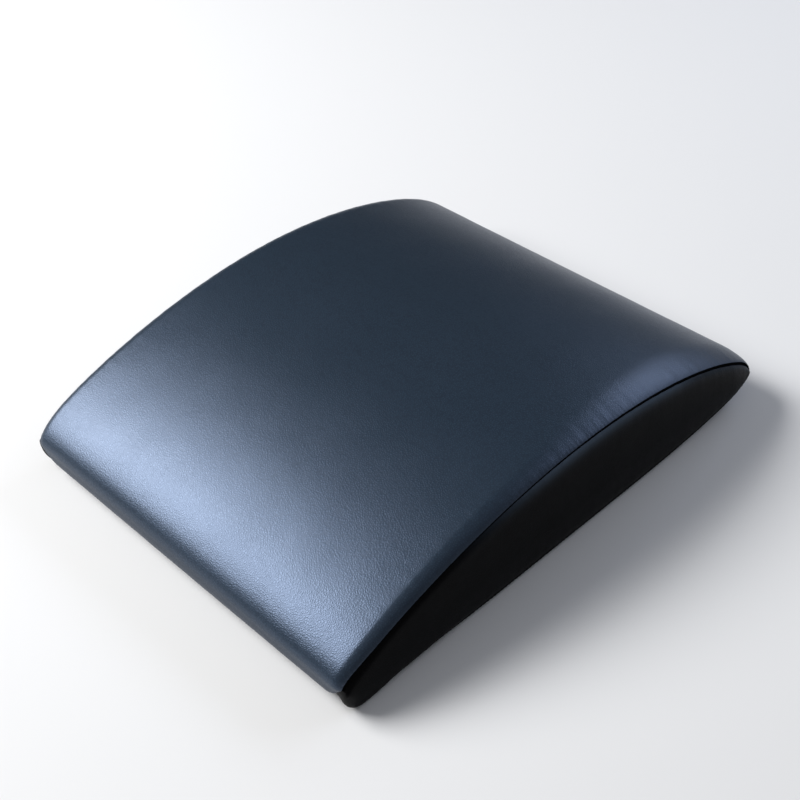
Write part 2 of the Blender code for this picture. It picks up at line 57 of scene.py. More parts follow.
# Waves of the leather's unevenness: length, direction and phase
DRIFT_WAVES = ((47 * MM, 0.4, 0.3), (61 * MM, 1.9, 1.7), (38 * MM, 2.7, 4.1), (83 * MM, 1.1, 2.2))

Array = np.ndarray
Colour = tuple[float, float, float, float]
Material = bpy.types.Material
Mesh = bpy.types.Mesh
Piece = bpy.types.Object
Tree = bpy.types.NodeTree
Socket = bpy.types.NodeSocket
Inputs = dict[str | int, object]

# Places of a colour Mix node's sockets: its share, first and second colour, and its result
SHARE, FIRST, SECOND, MIXED = 0, 6, 7, 2


class Side(Enum):
    """The two sides of the mat, by the sign of their x."""

    LEFT = -1
    RIGHT = 1


# Small tools for nodes and meshes


def srgb(code: str) -> Colour:
    """Turns an sRGB hex colour to linear.

    Args:
        code: The colour as "#rrggbb".

    Returns:
        Red, green, blue and alpha, each from 0 to 1.
    """
    values = [int(code[place:place + 2], 16) / 255.0 for place in (1, 3, 5)]
    linear = [
        value / 12.92 if value <= 0.04045 else ((value + 0.055) / 1.055) ** 2.4
        for value in values
    ]
    return (linear[0], linear[1], linear[2], 1.0)


def set_inputs(node: bpy.types.Node, inputs: Inputs) -> None:
    """Sets a node's inputs.

    Args:
        node: The node.
        inputs: For each input, by name or place, its constant or the output socket that feeds it.
    """
    for socket, value in inputs.items():
        if isinstance(value, Socket):
            node.id_data.links.new(value, node.inputs[socket])
        else:
            node.inputs[socket].default_value = value


def add_node(tree: Tree, kind: str, inputs: Inputs | None = None, **settings: object) -> bpy.types.Node:
    """Adds a shader node with its settings and links.

    Args:
        tree: The node tree that takes it.
        kind: The node's type, without the words that all shader nodes begin with.
        inputs: For each input, by name or place, its constant or the output socket that feeds it.
        **settings: The node's own settings.

    Returns:
        The new node.
    """
    node = tree.nodes.new("ShaderNode" + kind)
    for name, value in settings.items():
        setattr(node, name, value)
    set_inputs(node, inputs or {})
    return node


def per_mm(size: float) -> float:
    """A texture's scale for a pattern that repeats about every so many millimetres."""
    return 1.0 / (size * MM)


def mesh_piece(name: str, mesh: Mesh, *finishes: Material) -> Piece:
    """Links a mesh to the scene as a smooth piece.

    Args:
        name: The piece's name.
        mesh: Its mesh, in the frame's metres.
        *finishes: Its materials, in the order of the numbers that its faces hold.

    Returns:
        The new object.
    """
    for finish in finishes:
        mesh.materials.append(finish)
    mesh.shade_smooth()
    piece = bpy.data.objects.new(name, mesh)
    bpy.context.scene.collection.objects.link(piece)
    return piece


def report(piece: Piece, body: str, slot: str, *nodes: str) -> Piece:
    """Puts a finished piece on its body, hides the CAD nodes that it stands for, and logs it.

    Args:
        piece: The piece, in place.
        body: The CAD body that it rides on.
        slot: The record's material slot. It is not used.
        *nodes: The CAD nodes that it stands for.

    Returns:
        The same piece.
    """
    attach(piece, body)
    if nodes:
        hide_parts(*nodes)
    LOG.info("%s: %d faces, rides on %s", piece.name, len(piece.data.polygons), body)
    return piece


def eased(share: Array) -> Array:
    """A share from 0 to 1 that starts and ends gently, held at 0 before and at 1 after."""
    held = np.clip(share, 0.0, 1.0)
    return held * held * (3.0 - 2.0 * held)


def unit(vectors: Array) -> Array:
    """Vectors scaled to length one, along the last axis."""
    length = np.linalg.norm(vectors, axis=-1, keepdims=True)
    return vectors / np.maximum(length, TINY)


def run_length(points: Array, axis: int) -> Array:
    """Distance travelled along one axis of a grid of points.

    Args:
        points: An array of points, with x, y and z last.
        axis: The axis to travel along.

    Returns:
        The distance from the first point, for every point.
    """
    step = np.linalg.norm(np.diff(points, axis=axis), axis=-1)
    start = np.zeros_like(np.take(step, [0], axis=axis))
    return np.cumsum(np.concatenate([start, step], axis=axis), axis=axis)


def grid_normals(points: Array) -> Array:
    """Outward normals of a grid whose rows run along the outline and whose columns run towards +X."""
    down_rows = np.gradient(points, axis=0)
    across = np.gradient(points, axis=1)
    return unit(np.cross(across, down_rows))


def stretched(values: Array, shape: tuple[int, int]) -> Array:
    """Resamples a coarse grid of values to a finer grid, evenly along both axes.

    Args:
        values: The coarse values, with one entry per point, x, y and z last.
        shape: Rows and columns of the finer grid.

    Returns:
        The values on the finer grid.
    """
    rows = np.linspace(0, values.shape[0] - 1, shape[0])
    columns = np.linspace(0, values.shape[1] - 1, shape[1])
    low = np.floor(rows).astype(int).clip(0, values.shape[0] - 2)
    part = (rows - low)[:, None, None]
    tall = values[low] * (1 - part) + values[low + 1] * part
    low = np.floor(columns).astype(int).clip(0, values.shape[1] - 2)
    part = (columns - low)[None, :, None]
    return tall[:, low] * (1 - part) + tall[:, low + 1] * part


def grid_mesh(name: str, points: Array, keep: Array | None = None, **marks: Array) -> Mesh:
    """Makes a sheet of quads from a grid of points.

    Args:
        name: The mesh's name.
        points: The grid, rows by columns by three.
        keep: Which of its quads stay, rows less one by columns less one. All of them by default.
        **marks: Numbers stored at each point for the finish to read, by attribute name.

    Returns:
        The mesh.
    """
    rows, columns = points.shape[:2]
    corner = np.arange(rows * columns).reshape(rows, columns)
    quads = np.stack([corner[:-1, :-1], corner[:-1, 1:], corner[1:, 1:], corner[1:, :-1]], axis=-1)
    chosen = quads.reshape(-1, 4) if keep is None else quads[keep]
    used = np.unique(chosen)
    place = np.zeros(rows * columns, int)
    place[used] = np.arange(len(used))
    mesh = bpy.data.meshes.new(name)
    mesh.from_pydata(points.reshape(-1, 3)[used].tolist(), [], place[chosen].tolist())
    for mark, values in marks.items():
        attribute = mesh.attributes.new(mark, "FLOAT", "POINT")
        attribute.data.foreach_set("value", values.reshape(-1)[used].astype(np.float32))
    mesh.update()
    return mesh


def tube_faces(rings: int, sides: int, closed: bool) -> Array:
    """Quads of a tube whose points run ring by ring.

    Args:
        rings: How many rings it has.
        sides: How many points each ring has.
        closed: Whether the last ring joins the first.

    Returns:
        Four point numbers for each quad.
    """
    number = np.arange(rings * sides).reshape(rings, sides)
    following = np.roll(number, -1, axis=0)
    if not closed:
        number, following = number[:-1], following[:-1]
    corners = [number, np.roll(number, -1, 1), np.roll(following, -1, 1), following]
    return np.stack(corners, axis=-1).reshape(-1, 4)


def solid_mesh(name: str, points: Array, faces: list, joined_within: float = 0.0) -> Mesh:
    """Makes a closed mesh whose faces all look outwards.

    Args:
        name: The mesh's name.
        points: Its points, with x, y and z last.
        faces: The point numbers of each face.
        joined_within: Points as near as this become one. None do by default.

    Returns:
        The mesh.
    """
    mesh = bpy.data.meshes.new(name)
    mesh.from_pydata(points.reshape(-1, 3).tolist(), [], faces)
    work = bmesh.new()
    work.from_mesh(mesh)
    if joined_within:
        bmesh.ops.remove_doubles(work, verts=work.verts, dist=joined_within)
    bmesh.ops.recalc_face_normals(work, faces=work.faces)
    work.to_mesh(mesh)
    work.free()
    return mesh


@dataclass(frozen=True)
class Fold:
    """How the free edge of a panel is turned under."""

    radius: float
    turn_degrees: float = 90.0
    allowance: float = 2.0 * MM
    steps: int = 4
    finish_number: int = 0

    def apply(self, mesh: Mesh, where: Callable[[Vector], bool] | None = None) -> None:
        """Rolls a sheet's free edges round and in.

        Args:
            mesh: The sheet, which is changed.
            where: Says which points' edges fold. All free edges by default.
        """
        work = bmesh.new()
        work.from_mesh(mesh)
        work.normal_update()
        seam = work.verts.layers.float.get("seam")
        rims = [
            edge
            for edge in work.edges
            if edge.is_boundary and (where is None or all(where(vert.co) for vert in edge.verts))
        ]
        away: dict = {}
        for edge in rims:
            face = edge.link_faces[0]
            first, last = edge.verts
            out = (last.co - first.co).cross(face.normal).normalized()
            if out.dot(face.calc_center_median() - first.co) > 0:
                out.negate()
            for vert in edge.verts:
                away[vert] = away.get(vert, Vector()) + out
        for edge in rims:
            edge.link_faces[0].material_index = self.finish_number
        start = {vert: (vert.co.copy(), out.normalized(), vert.normal.copy()) for vert, out in away.items()}
        turns = [math.radians(self.turn_degrees) * step / self.steps for step in range(1, self.steps + 1)]
        rings = [self.ring(start, turn, 0.0) for turn in turns]
        rings.append(self.ring(start, turns[-1], self.allowance))
        before = {vert: vert for vert in start}
        winding = [self.wound(edge) for edge in rims]
        for places in rings:
            following = {}
            for vert, place in places.items():
                following[vert] = work.verts.new(place)
                if seam is not None:
                    following[vert][seam] = vert[seam]
            for first, last in winding:
                turned = work.faces.new((before[last], before[first], following[first], following[last]))
                turned.material_index = self.finish_number
            before = following
        work.to_mesh(mesh)
        work.free()
        mesh.update()

    def ring(self, start: dict, turn: float, beyond: float) -> dict:
        """Where each rim point lies after a turn and a straight run.

        Args:
            start: Place, outward direction and normal of each rim point.
            turn: The angle that the edge has turned, in radians.
            beyond: The straight run after the turn.

        Returns:
            The new place of each rim point.
        """
        reach = self.radius * math.sin(turn) + beyond * math.cos(turn)
        sink = self.radius * (1.0 - math.cos(turn)) + beyond * math.sin(turn)
        return {vert: place + out * reach - normal * sink for vert, (place, out, normal) in start.items()}

    @staticmethod
    def wound(edge: bmesh.types.BMEdge) -> tuple:
        """The edge's two points, in the order in which its one face runs through them."""
        for loop in edge.link_faces[0].loops:
            if loop.edge == edge:
                return loop.vert, loop.link_loop_next.vert
        return tuple(edge.verts)


# The mat's shape


@dataclass(frozen=True)
class MatShape:
    """Outline over the middle of the mat, and how its edges roll and draw in. All in metres."""

    length: float = 0.368
    seam_half_width: float = 0.1447
    front_tip_height: float = 0.0205
    front_nose_length: float = 0.013
    rear_tip_height: float = 0.0165
    rear_lift_length: float = 0.122
    dome_rise: float = 0.052
    dome_lean: float = 0.0072
    dome_flattening: float = 0.0064
    roll_inset: float = 0.010
    front_roll_tightening: float = 0.0028
    tightening_end_share: float = 0.40
    rear_roll_widening: float = 0.018
    widening_onset: float = 0.03
    widening_start_share: float = 0.32
    widening_end_share: float = 0.80
    soft_roll_share: float = 0.78
    widened_roll_share: float = 0.88
    soft_roll_start: float = 0.55
    soft_roll_power: float = 1.9
    top_roll_depth: float = 0.007
    edge_roll_depth: float = 0.003
    roll_fade: float = 0.7
    crown_rise: float = 0.0025
    rear_draw_in: float = 0.002
    rear_draw_length: float = 0.060
    corner_inset: float = 0.002
    corner_length: float = 0.030
    corner_wrap: float = 0.013
    corner_wrap_curve: float = 1.3
    corner_wrap_length: float = 0.021
    corner_wrap_tail: float = 0.002
    corner_wrap_tail_length: float = 0.110
    side_bulge: float = 0.0012
    side_bulge_height: float = 0.030
    seam_gap: float = 0.0014
    zip_from_rear_tip: float = 0.018
    zip_slot_half_width: float = 0.007

    @property
    def lift_start(self) -> float:
        """Distance from the front tip to where the base begins to rise."""
        return self.length - self.rear_lift_length

    @property
    def crest(self) -> float:
        """Distance from the middle of the mat to where its sides begin to roll over."""
        return self.seam_half_width - self.roll_inset

    @property
    def zip_angle(self) -> float:
        """Angle of the rear underside at the middle of the zip."""
        return math.asin(1.0 - self.zip_from_rear_tip / self.rear_lift_length)

    @property
    def zip_tilt(self) -> float:
        """Angle between the zip's surface and the floor, in radians."""
        along = math.cos(self.zip_angle) * self.rear_lift_length
        return math.atan2(math.sin(self.zip_angle) * self.rear_tip_height, along)

    def station(self, turn: Array) -> Array:
        """Distance from the front tip, by the angle turned round the mat: 0 there and half a turn behind."""
        return self.length * (1.0 - np.cos(turn)) / 2

    def dome_height(self, y: Array) -> Array:
        """Height of the outline's upper side at a distance from the front tip."""
        turn = np.arccos(np.clip(1.0 - 2.0 * y / self.length, -1.0, 1.0))
        part = turn / math.pi
        swell = self.dome_rise - self.dome_lean * np.cos(turn) - self.dome_flattening * np.cos(2.0 * turn)
        tips = self.front_tip_height * (1.0 - part) + self.rear_tip_height * part
        return tips + swell * np.sin(turn)

    def base_height(self, y: Array) -> Array:
        """Height of the outline's lower side at a distance from the front tip."""
        nose = np.clip(1.0 - y / self.front_nose_length, 0.0, 1.0)
        lift = np.clip((y - self.lift_start) / self.rear_lift_length, 0.0, 1.0)
        return self.front_tip_height * (1.0 - np.sqrt(1.0 - nose**2)) + self.rear_tip_height * (
            1.0 - np.sqrt(1.0 - lift**2)
        )

    def lift_point(self, angle: Array) -> tuple[Array, Array]:
        """Distance from the front tip and height on the rear underside, by its angle."""
        return (
            self.lift_start + self.rear_lift_length * np.sin(angle),
            self.rear_tip_height * (1.0 - np.cos(angle)),
        )

    def lift_angle(self, across: Array) -> Array:
        """Angle of the rear underside at a distance across the zip, positive towards the rear."""
        speed = math.hypot(
            self.rear_lift_length * math.cos(self.zip_angle),
            self.rear_tip_height * math.sin(self.zip_angle),
        )
        return self.zip_angle + across / speed

    def on_zip(self, x: Array, across: Array, depth: Array) -> Array:
        """Points near the zip.

        Args:
            x: Place along the chain.
            across: Distance across the chain from its middle, positive towards the rear.
            depth: Distance into the mat from the outer surface.

        Returns:
            The points, with x, y and z last.
        """
        angle = self.lift_angle(across)
        y, z = self.lift_point(angle)
        along_y = self.rear_lift_length * np.cos(angle)
        along_z = self.rear_tip_height * np.sin(angle)
        size = np.hypot(along_y, along_z)
        y = y - along_z / size * depth - self.length / 2
        z = z + along_y / size * depth
        return np.stack(np.broadcast_arrays(x, y, z), axis=-1)


@dataclass(frozen=True)
class OutlinePath:
    """A run of the outline: place, outward normal and edge sizes at each station along it."""

    y: Array
    z: Array
    normal_y: Array
    normal_z: Array
    half_width: Array
    roll: Array
    widening: Array
    depth: Array
    crown: Array
    draw: Array
    upper: Array

    @classmethod
    def along(cls, shape: MatShape, y: Array, z: Array, upper: Array) -> "OutlinePath":
        """Works out a path from its points.

        Args:
            shape: The mat's shape.
            y: Distance of each point from the front tip.
            z: Height of each point.
            upper: 1 where the point is on the upper side, and 0 below.

        Returns:
            The path.
        """
        along_y, along_z = np.gradient(y), np.gradient(z)
        size = np.maximum(np.hypot(along_y, along_z), TINY)
        tip_distance = np.minimum(y, shape.length - y)
        corner = np.clip(1.0 - tip_distance / shape.corner_length, 0.0, 1.0) ** 2
        swell = np.sin(np.arccos(np.clip(1.0 - 2.0 * y / shape.length, -1.0, 1.0))) * upper
        deeper = shape.top_roll_depth - shape.edge_roll_depth
        first, last = shape.widening_start_share, shape.widening_end_share
        rear = eased((y / shape.length - first) / (last - first))
        tight = shape.front_roll_tightening * (1.0 - eased(y / shape.length / shape.tightening_end_share))
        on_nose = shape.corner_wrap * (1.0 - (z / shape.front_tip_height) ** shape.corner_wrap_curve)
        past_nose = y - shape.front_nose_length
        tail = shape.corner_wrap_tail * (1.0 - eased(past_nose / shape.corner_wrap_tail_length))
        short = shape.corner_wrap - shape.corner_wrap_tail
        on_base = tail + short * (1.0 - eased(past_nose / shape.corner_wrap_length))
        wrap = np.where(upper > 0, 0.0, np.where(past_nose < 0, np.maximum(on_nose, 0.0), on_base))
        lip_edge = shape.lift_point(shape.lift_angle(shape.zip_slot_half_width))[1]
        drawn_above = np.clip(1.0 - (shape.length - y) / shape.rear_draw_length, 0.0, 1.0) ** 2
        drawn_below = np.clip((z - lip_edge) / (shape.rear_tip_height - lip_edge), 0.0, 1.0)
        drawn_below = np.where(y > shape.lift_start, drawn_below, 0.0)
        return cls(
            y=y,
            z=z,
            normal_y=-along_z / size,
            normal_z=along_y / size,
            half_width=shape.seam_half_width - shape.corner_inset * corner - wrap,
            roll=shape.roll_inset - tight,
            widening=shape.rear_roll_widening * rear * swell / np.sqrt(swell + shape.widening_onset),
            depth=shape.edge_roll_depth + deeper * swell**shape.roll_fade,
            crown=shape.crown_rise * swell,
            draw=shape.rear_draw_in * np.where(upper > 0, drawn_above, drawn_below),
            upper=upper,
        )

    @classmethod
    def over(cls, shape: MatShape, y: Array, upper: bool) -> "OutlinePath":
        """The path over the dome, or along the base, through given distances from the front tip."""
        height = shape.dome_height(y) if upper else shape.base_height(y)
        return cls.along(shape, y, height, np.full_like(y, upper))

    def resampled(self, count: int) -> "OutlinePath":
        """The same path with a number of evenly spaced stations."""
        step = np.hypot(np.diff(self.y), np.diff(self.z))
        travel = np.concatenate([[0.0], np.cumsum(step)])
        wanted = np.linspace(0.0, travel[-1], count)
        return OutlinePath(
            **{item.name: np.interp(wanted, travel, getattr(self, item.name)) for item in fields(self)}
        )

    def at(self, x: Array, inwards: Array, length: float) -> Array:
        """Points at a width and a distance inwards, one row per station.

        Args:
            x: Width of each point, one row per station.
            inwards: Distance inwards from the outline, likewise.
            length: The mat's length.

        Returns:
            The points, rows by columns by three.
        """
        y = self.y[:, None] - self.normal_y[:, None] * inwards - length / 2
        z = self.z[:, None] - self.normal_z[:, None] * inwards
        return np.stack(np.broadcast_arrays(x, y, z), axis=-1)

    def seam(self, length: float, sunk: Array | float = 0.0, tuck: float = 0.0) -> Array:
        """The side seam's line.

        Args:
            length: The mat's length.
            sunk: How far it lies inside the panels' edges.
            tuck: How far the panel's edge laps over it.

        Returns:
            The points, one row per station and one column.
        """
        inwards = np.where(self.upper > 0, 1.0, -1.0) * (self.depth - tuck)
        return self.at((self.half_width - sunk)[:, None], inwards[:, None], length)


@dataclass
class SeamRuler:
    """Counts stitches along the closed side seam, from the front tip, negative below."""

    shape: MatShape
    stitch: float = 3.0 * MM
    samples: int = 3000
    y: Array = field(init=False)
    above: Array = field(init=False)
    below: Array = field(init=False)

    def __post_init__(self) -> None:
        """Measures the seam and fits a whole number of stitches to it."""
        self.y = self.shape.station(np.linspace(0.0, math.pi, self.samples))
        above, below = (
            run_length(OutlinePath.over(self.shape, self.y, upper).seam(self.shape.length)[:, 0], axis=0)
            for upper in (True, False)
        )
        total = above[-1] + below[-1]
        pitch = total / round(total / self.stitch)
        self.above, self.below = above / pitch, -below / pitch

    def count(self, y: Array, upper: Array | bool) -> Array:
        """Stitches from the front tip to a place on the seam.

        Args:
            y: Distance of the place's station from the front tip.
            upper: 1 or true on the upper side, 0 or false below.

        Returns:
            The number of stitches.
        """
        return np.where(upper, np.interp(y, self.y, self.above), np.interp(y, self.y, self.below))


def stitch_wave(stitches: Array) -> Array:
    """1 where a stitch goes into the leather and 0 half-way between, by a count of stitches."""
    return 0.5 + 0.5 * np.cos(2.0 * math.pi * stitches)


@dataclass(frozen=True)
class SeamPull:
    """What a sewn seam does to the leather beside it: a dimple at each stitch and soft slack waves."""

    dimple: float = 0.20 * MM
    dimple_reach: float = 2.4 * MM
    slack: float = 0.22 * MM
    slack_reach: float = 7.0 * MM
    slack_start: float = 2.5 * MM
    slack_stitches: tuple[float, ...] = (2.7, 4.3, 7.9)

    def rise(self, stitches: Array, distance: Array) -> Array:
        """How far the surface stands out from its smooth shape.

        Args:
            stitches: Place along the seam, counted in stitches.
            distance: Distance from the seam.

        Returns:
            The rise along the surface's normal, in metres.
        """
        dimple = -self.dimple * stitch_wave(stitches)
        waves = sum(
            np.sin(2.0 * math.pi * stitches / period + place)
            for place, period in enumerate(self.slack_stitches)
        )
        held = 1.0 - np.exp(-distance / self.slack_start)
        slack = self.slack * waves / len(self.slack_stitches) * held * np.exp(-distance / self.slack_reach)
        return dimple * np.exp(-distance / self.dimple_reach) + slack


def seam_mark(distance: Array) -> Array:
    """The finish's seam mark: 1 at a seam and fading away from it."""
    return np.exp(-distance / SEAM_MARK_REACH)


def surface_drift(points: Array, height: float) -> Array:
    """Faint unevenness of leather stretched over foam, as a rise for each point.

    Args:
        points: The surface's points.
        height: Its greatest rise.

    Returns:
        The rise along the normal.
    """
    x, y = points[..., 0], points[..., 1]
    total = np.zeros_like(x)
    for wave, angle, phase in DRIFT_WAVES:
        along = x * math.cos(angle) + y * math.sin(angle)
        total += np.sin(2.0 * math.pi * along / wave + phase)
    return height * total / len(DRIFT_WAVES)


@dataclass(frozen=True)
class Stuffing:
    """Lets a panel swell against its seams, by a short cloth simulation with pressure behind it."""

    pressure: float = 4.0
    stiffness: float = 110.0
    bending: float = 8.0
    frames: int = 20
    most: float = 0.9 * MM
    coarse_rows: int = 64
    coarse_columns: int = 30

    def swell(self, points: Array) -> Array:
        """Simulates a panel held along its border.

        Args:
            points: The panel's grid, whose normals point outwards.

        Returns:
            How far each point of the grid moves.
        """
        shape = (min(self.coarse_rows, points.shape[0]), min(self.coarse_columns, points.shape[1]))
        coarse = stretched(points, shape)
        panel = bpy.data.objects.new("stuffing", grid_mesh("stuffing", coarse))
        bpy.context.scene.collection.objects.link(panel)
        held = panel.vertex_groups.new(name="held")
        number = np.arange(shape[0] * shape[1]).reshape(shape)
        border = set(number.ravel()) - set(number[1:-1, 1:-1].ravel())
        held.add([int(place) for place in sorted(border)], 1.0, "REPLACE")
        cloth = panel.modifiers.new("cloth", "CLOTH")
        cloth.settings.vertex_group_mass = "held"
        cloth.settings.use_pressure = True
        cloth.settings.uniform_pressure_force = self.pressure
        for kind in ("tension", "compression", "shear"):
            setattr(cloth.settings, f"{kind}_stiffness", self.stiffness)
        cloth.settings.bending_stiffness = self.bending
        cloth.settings.effector_weights.gravity = 0.0
        cloth.point_cache.frame_start = 1
        cloth.point_cache.frame_end = self.frames
        scene = bpy.context.scene
        for step in range(1, self.frames + 1):
            scene.frame_set(step)
        shown = panel.evaluated_get(bpy.context.evaluated_depsgraph_get()).data
        moved = np.zeros(len(shown.vertices) * 3, np.float32)
        shown.vertices.foreach_get("co", moved)
        scene.frame_set(1)
        shift = moved.reshape(coarse.shape).astype(float) - coarse
        bpy.data.objects.remove(panel)
        size = np.linalg.norm(shift, axis=-1, keepdims=True)
        capped = shift * np.minimum(1.0, self.most / np.maximum(size, TINY))
        LOG.info("stuffing moved a panel by up to %.2f mm", size.max() / MM)
        return stretched(capped, points.shape[:2])


# Finishes. Each pattern is placed by the frame's own metres, so its scale is real.


@dataclass(frozen=True)
class Finish:
    """A surface, by its material and how it was made. Each kind draws its own pattern."""

    name: str

    def build(self) -> Material:
        """Makes the material.

        Returns:
            The material.
        """
        material = bpy.data.materials.new(self.name)
        material.use_nodes = True
        tree = material.node_tree
        place = add_node(tree, "TexCoord").outputs["Object"]
        set_inputs(tree.nodes["Principled BSDF"], self.look(tree, place))
        return material

    def look(self, tree: Tree, place: Socket) -> Inputs:
        """Draws the pattern, which each kind of finish does in its own way.

        Args:
            tree: The material's node tree.
            place: Coordinates on the piece, in metres.

        Returns:
            The shader's inputs.
        """
        raise NotImplementedError

    @staticmethod
    def marked(
        tree: Tree, mark: Socket, colours: tuple[str, str], height: Socket, relief_mm: float
    ) -> Inputs:
        """Colours a surface by a mark and gives it a relief.

        Args:
            tree: The material's node tree.
            mark: The mark, from 0 to 1.
            colours: The colours where the mark is 0 and 1.
            height: The relief's shape, from 0 to 1.
            relief_mm: The relief's depth.

        Returns:
            The shader's colour and normal.
        """
        mix = {SHARE: mark, FIRST: srgb(colours[0]), SECOND: srgb(colours[1])}
        bump = add_node(tree, "Bump", {"Distance": relief_mm * MM, "Height": height})
        return {
            "Base Color": add_node(tree, "Mix", mix, data_type="RGBA").outputs[MIXED],
            "Normal": bump.outputs["Normal"],
        }


@dataclass(frozen=True)
class PebbledLeather(Finish):
    """PU-coated imitation leather, embossed with a pebble grain between hot rollers.

    The eye sees a near-black skin with soft broad highlights. Its grain of about one millimetre
    breaks them into a fine speckle, and the coating's valleys are a little darker and duller.
    """

    crown: str
    valley: str
    # The stretched colour is painted light, laid on by the seam mark: painted shade on the top's seams and
    # nose, a painted highlight under the side's top seam.
    stretched: str
    roughness: float
    shine: float
    seam_fade: float = 1.6
    tint: str = "#ffffff"
    seam_polish: float = 0.0
    bend_mm: float = 5.0
    bend_reach_mm: float = 0.9
    grain_mm: float = 1.3
    grain_relief_mm: float = 0.040
    groove: float = 0.32
    pore_mm: float = 0.5
    pore_relief: float = 0.35
    crease_mm: float = 2.4
    crease_edge: float = 0.6
    crease_relief_mm: float = 0.035
    wave_mm: float = 22.0
    wave_relief_mm: float = 0.10
    cloud_mm: float = 60.0
    clear: float = 0.04
    clouded: float = 0.05
    crown_gloss: float = 0.05
    ior: float = 1.5

    def look(self, tree: Tree, place: Socket) -> Inputs:
        """Draws pebbles, pores and creases, and paints light along the seams with the stretched colour: shade
        on the top, a highlight on the side.

        Args:
            tree: The material's node tree.
            place: Coordinates on the piece, in metres.

        Returns:
            The shader's inputs.
        """
        warp = add_node(tree, "TexNoise", {"Scale": per_mm(self.bend_mm), "Detail": 1.0, "Vector": place})
        bend = {0: warp.outputs["Color"], 1: (self.bend_reach_mm * MM,) * 3, 2: place}
        bent = add_node(tree, "VectorMath", bend, operation="MULTIPLY_ADD").outputs[0]
        cells = {"Scale": per_mm(self.grain_mm), "Vector": bent}
        pebble = add_node(tree, "TexVoronoi", cells, feature="DISTANCE_TO_EDGE").outputs["Distance"]
        groove = {"Value": pebble, "From Max": self.groove}
        mound = add_node(tree, "MapRange", groove, interpolation_type="SMOOTHSTEP").outputs["Result"]
        noises = (
            {"Vector": place, "Scale": per_mm(self.pore_mm), "Detail": 2.0},
            {"Vector": place, "Scale": per_mm(self.wave_mm), "Detail": 2.0},
            {"Vector": bent, "Scale": per_mm(self.crease_mm), "Detail": 3.0, "Roughness": self.crease_edge},
            {"Vector": place, "Scale": per_mm(self.cloud_mm), "Detail": 3.0},
        )
        pores, waves, creases, clouds = (
            add_node(tree, "TexNoise", noise).outputs["Fac"] for noise in noises
        )
        rise = {0: pores, 1: self.pore_relief, 2: mound}
        skin = add_node(tree, "Math", rise, operation="MULTIPLY_ADD").outputs[0]
        reliefs = (
            (self.wave_relief_mm, waves),
            (self.crease_relief_mm, creases),
            (self.grain_relief_mm, skin),
        )
        shape: Inputs = {}
        for relief, height in reliefs:
            bump = add_node(tree, "Bump", {"Distance": relief * MM, "Height": height} | shape)
            shape = {"Normal": bump.outputs["Normal"]}
        colours = {SHARE: mound, FIRST: srgb(self.valley), SECOND: srgb(self.crown)}
        coat = add_node(tree, "Mix", colours, data_type="RGBA").outputs[MIXED]
        # The seam mark paints light: it mixes in the stretched colour, as painted shade or a painted
        # highlight, and also changes the roughness.
        seam = add_node(tree, "Attribute", attribute_name="seam").outputs["Fac"]
        seam_weight = add_node(tree, "Math", {0: seam, 1: self.seam_fade}, operation="POWER").outputs[0]
        colours = {SHARE: seam_weight, FIRST: coat, SECOND: srgb(self.stretched)}
        paint = add_node(tree, "Mix", colours, data_type="RGBA").outputs[MIXED]
        ends = {"To Min": self.roughness - self.clear, "To Max": self.roughness + self.clouded}
        rough = add_node(tree, "MapRange", {"Value": clouds} | ends).outputs["Result"]
        for mark, gloss in ((mound, self.crown_gloss), (seam_weight, self.seam_polish)):
            polish = {0: mark, 1: -gloss, 2: rough}
            rough = add_node(tree, "Math", polish, operation="MULTIPLY_ADD").outputs[0]
        shader = {"IOR": self.ior, "Specular IOR Level": self.shine, "Specular Tint": srgb(self.tint)}
        return shader | shape | {"Base Color": paint, "Roughness": rough}


@dataclass(frozen=True)
class NonSlipVinyl(Finish):
    """Calendered PVC with a fine crossed rib pressed into it, so that it grips the floor.

    The eye sees a flat matt black with a dim diamond texture and hardly any highlight.
    """

    name: str = "calendered_nonslip_vinyl"
    top: str = "#212122"
    floor: str = "#151516"
    rib_mm: float = 3.0
    rib_degrees: float = 45.0
    relief_mm: float = 0.22
    stud_foot: float = -0.1
    stud_top: float = 0.55
    grit_mm: float = 0.6
    grit_relief: float = 0.25
    floor_roughness: float = 0.82
    top_roughness: float = 0.66
    ior: float = 1.53
    shine: float = 0.3

    def look(self, tree: Tree, place: Socket) -> Inputs:
        """Draws the crossed ribs and the grit.

        Args:
            tree: The material's node tree.
            place: Coordinates on the piece, in metres.

        Returns:
            The shader's inputs.
        """
        turn = {"Vector": place, "Angle": math.radians(self.rib_degrees)}
        axes = add_node(tree, "SeparateXYZ", {0: add_node(tree, "VectorRotate", turn).outputs[0]})
        waves: Inputs = {}
        for number, axis in enumerate("XY"):
            phase = {0: axes.outputs[axis], 1: 2.0 * math.pi * per_mm(self.rib_mm)}
            phase = {0: add_node(tree, "Math", phase, operation="MULTIPLY").outputs[0]}
            waves[number] = add_node(tree, "Math", phase, operation="SINE").outputs[0]
        crossed = add_node(tree, "Math", waves, operation="MULTIPLY").outputs[0]
        stud = {"Value": crossed, "From Min": self.stud_foot, "From Max": self.stud_top}
        studs = add_node(tree, "MapRange", stud, interpolation_type="SMOOTHSTEP").outputs["Result"]
        grit = add_node(tree, "TexNoise", {"Scale": per_mm(self.grit_mm), "Detail": 2.0, "Vector": place})
        rise = {0: grit.outputs["Fac"], 1: self.grit_relief, 2: studs}
        skin = add_node(tree, "Math", rise, operation="MULTIPLY_ADD").outputs[0]
        ends = {"Value": studs, "To Min": self.floor_roughness, "To Max": self.top_roughness}
        rough = add_node(tree, "MapRange", ends).outputs["Result"]
        look = self.marked(tree, studs, (self.floor, self.top), skin, self.relief_mm)
        return look | {"Roughness": rough, "IOR": self.ior, "Specular IOR Level": self.shine}


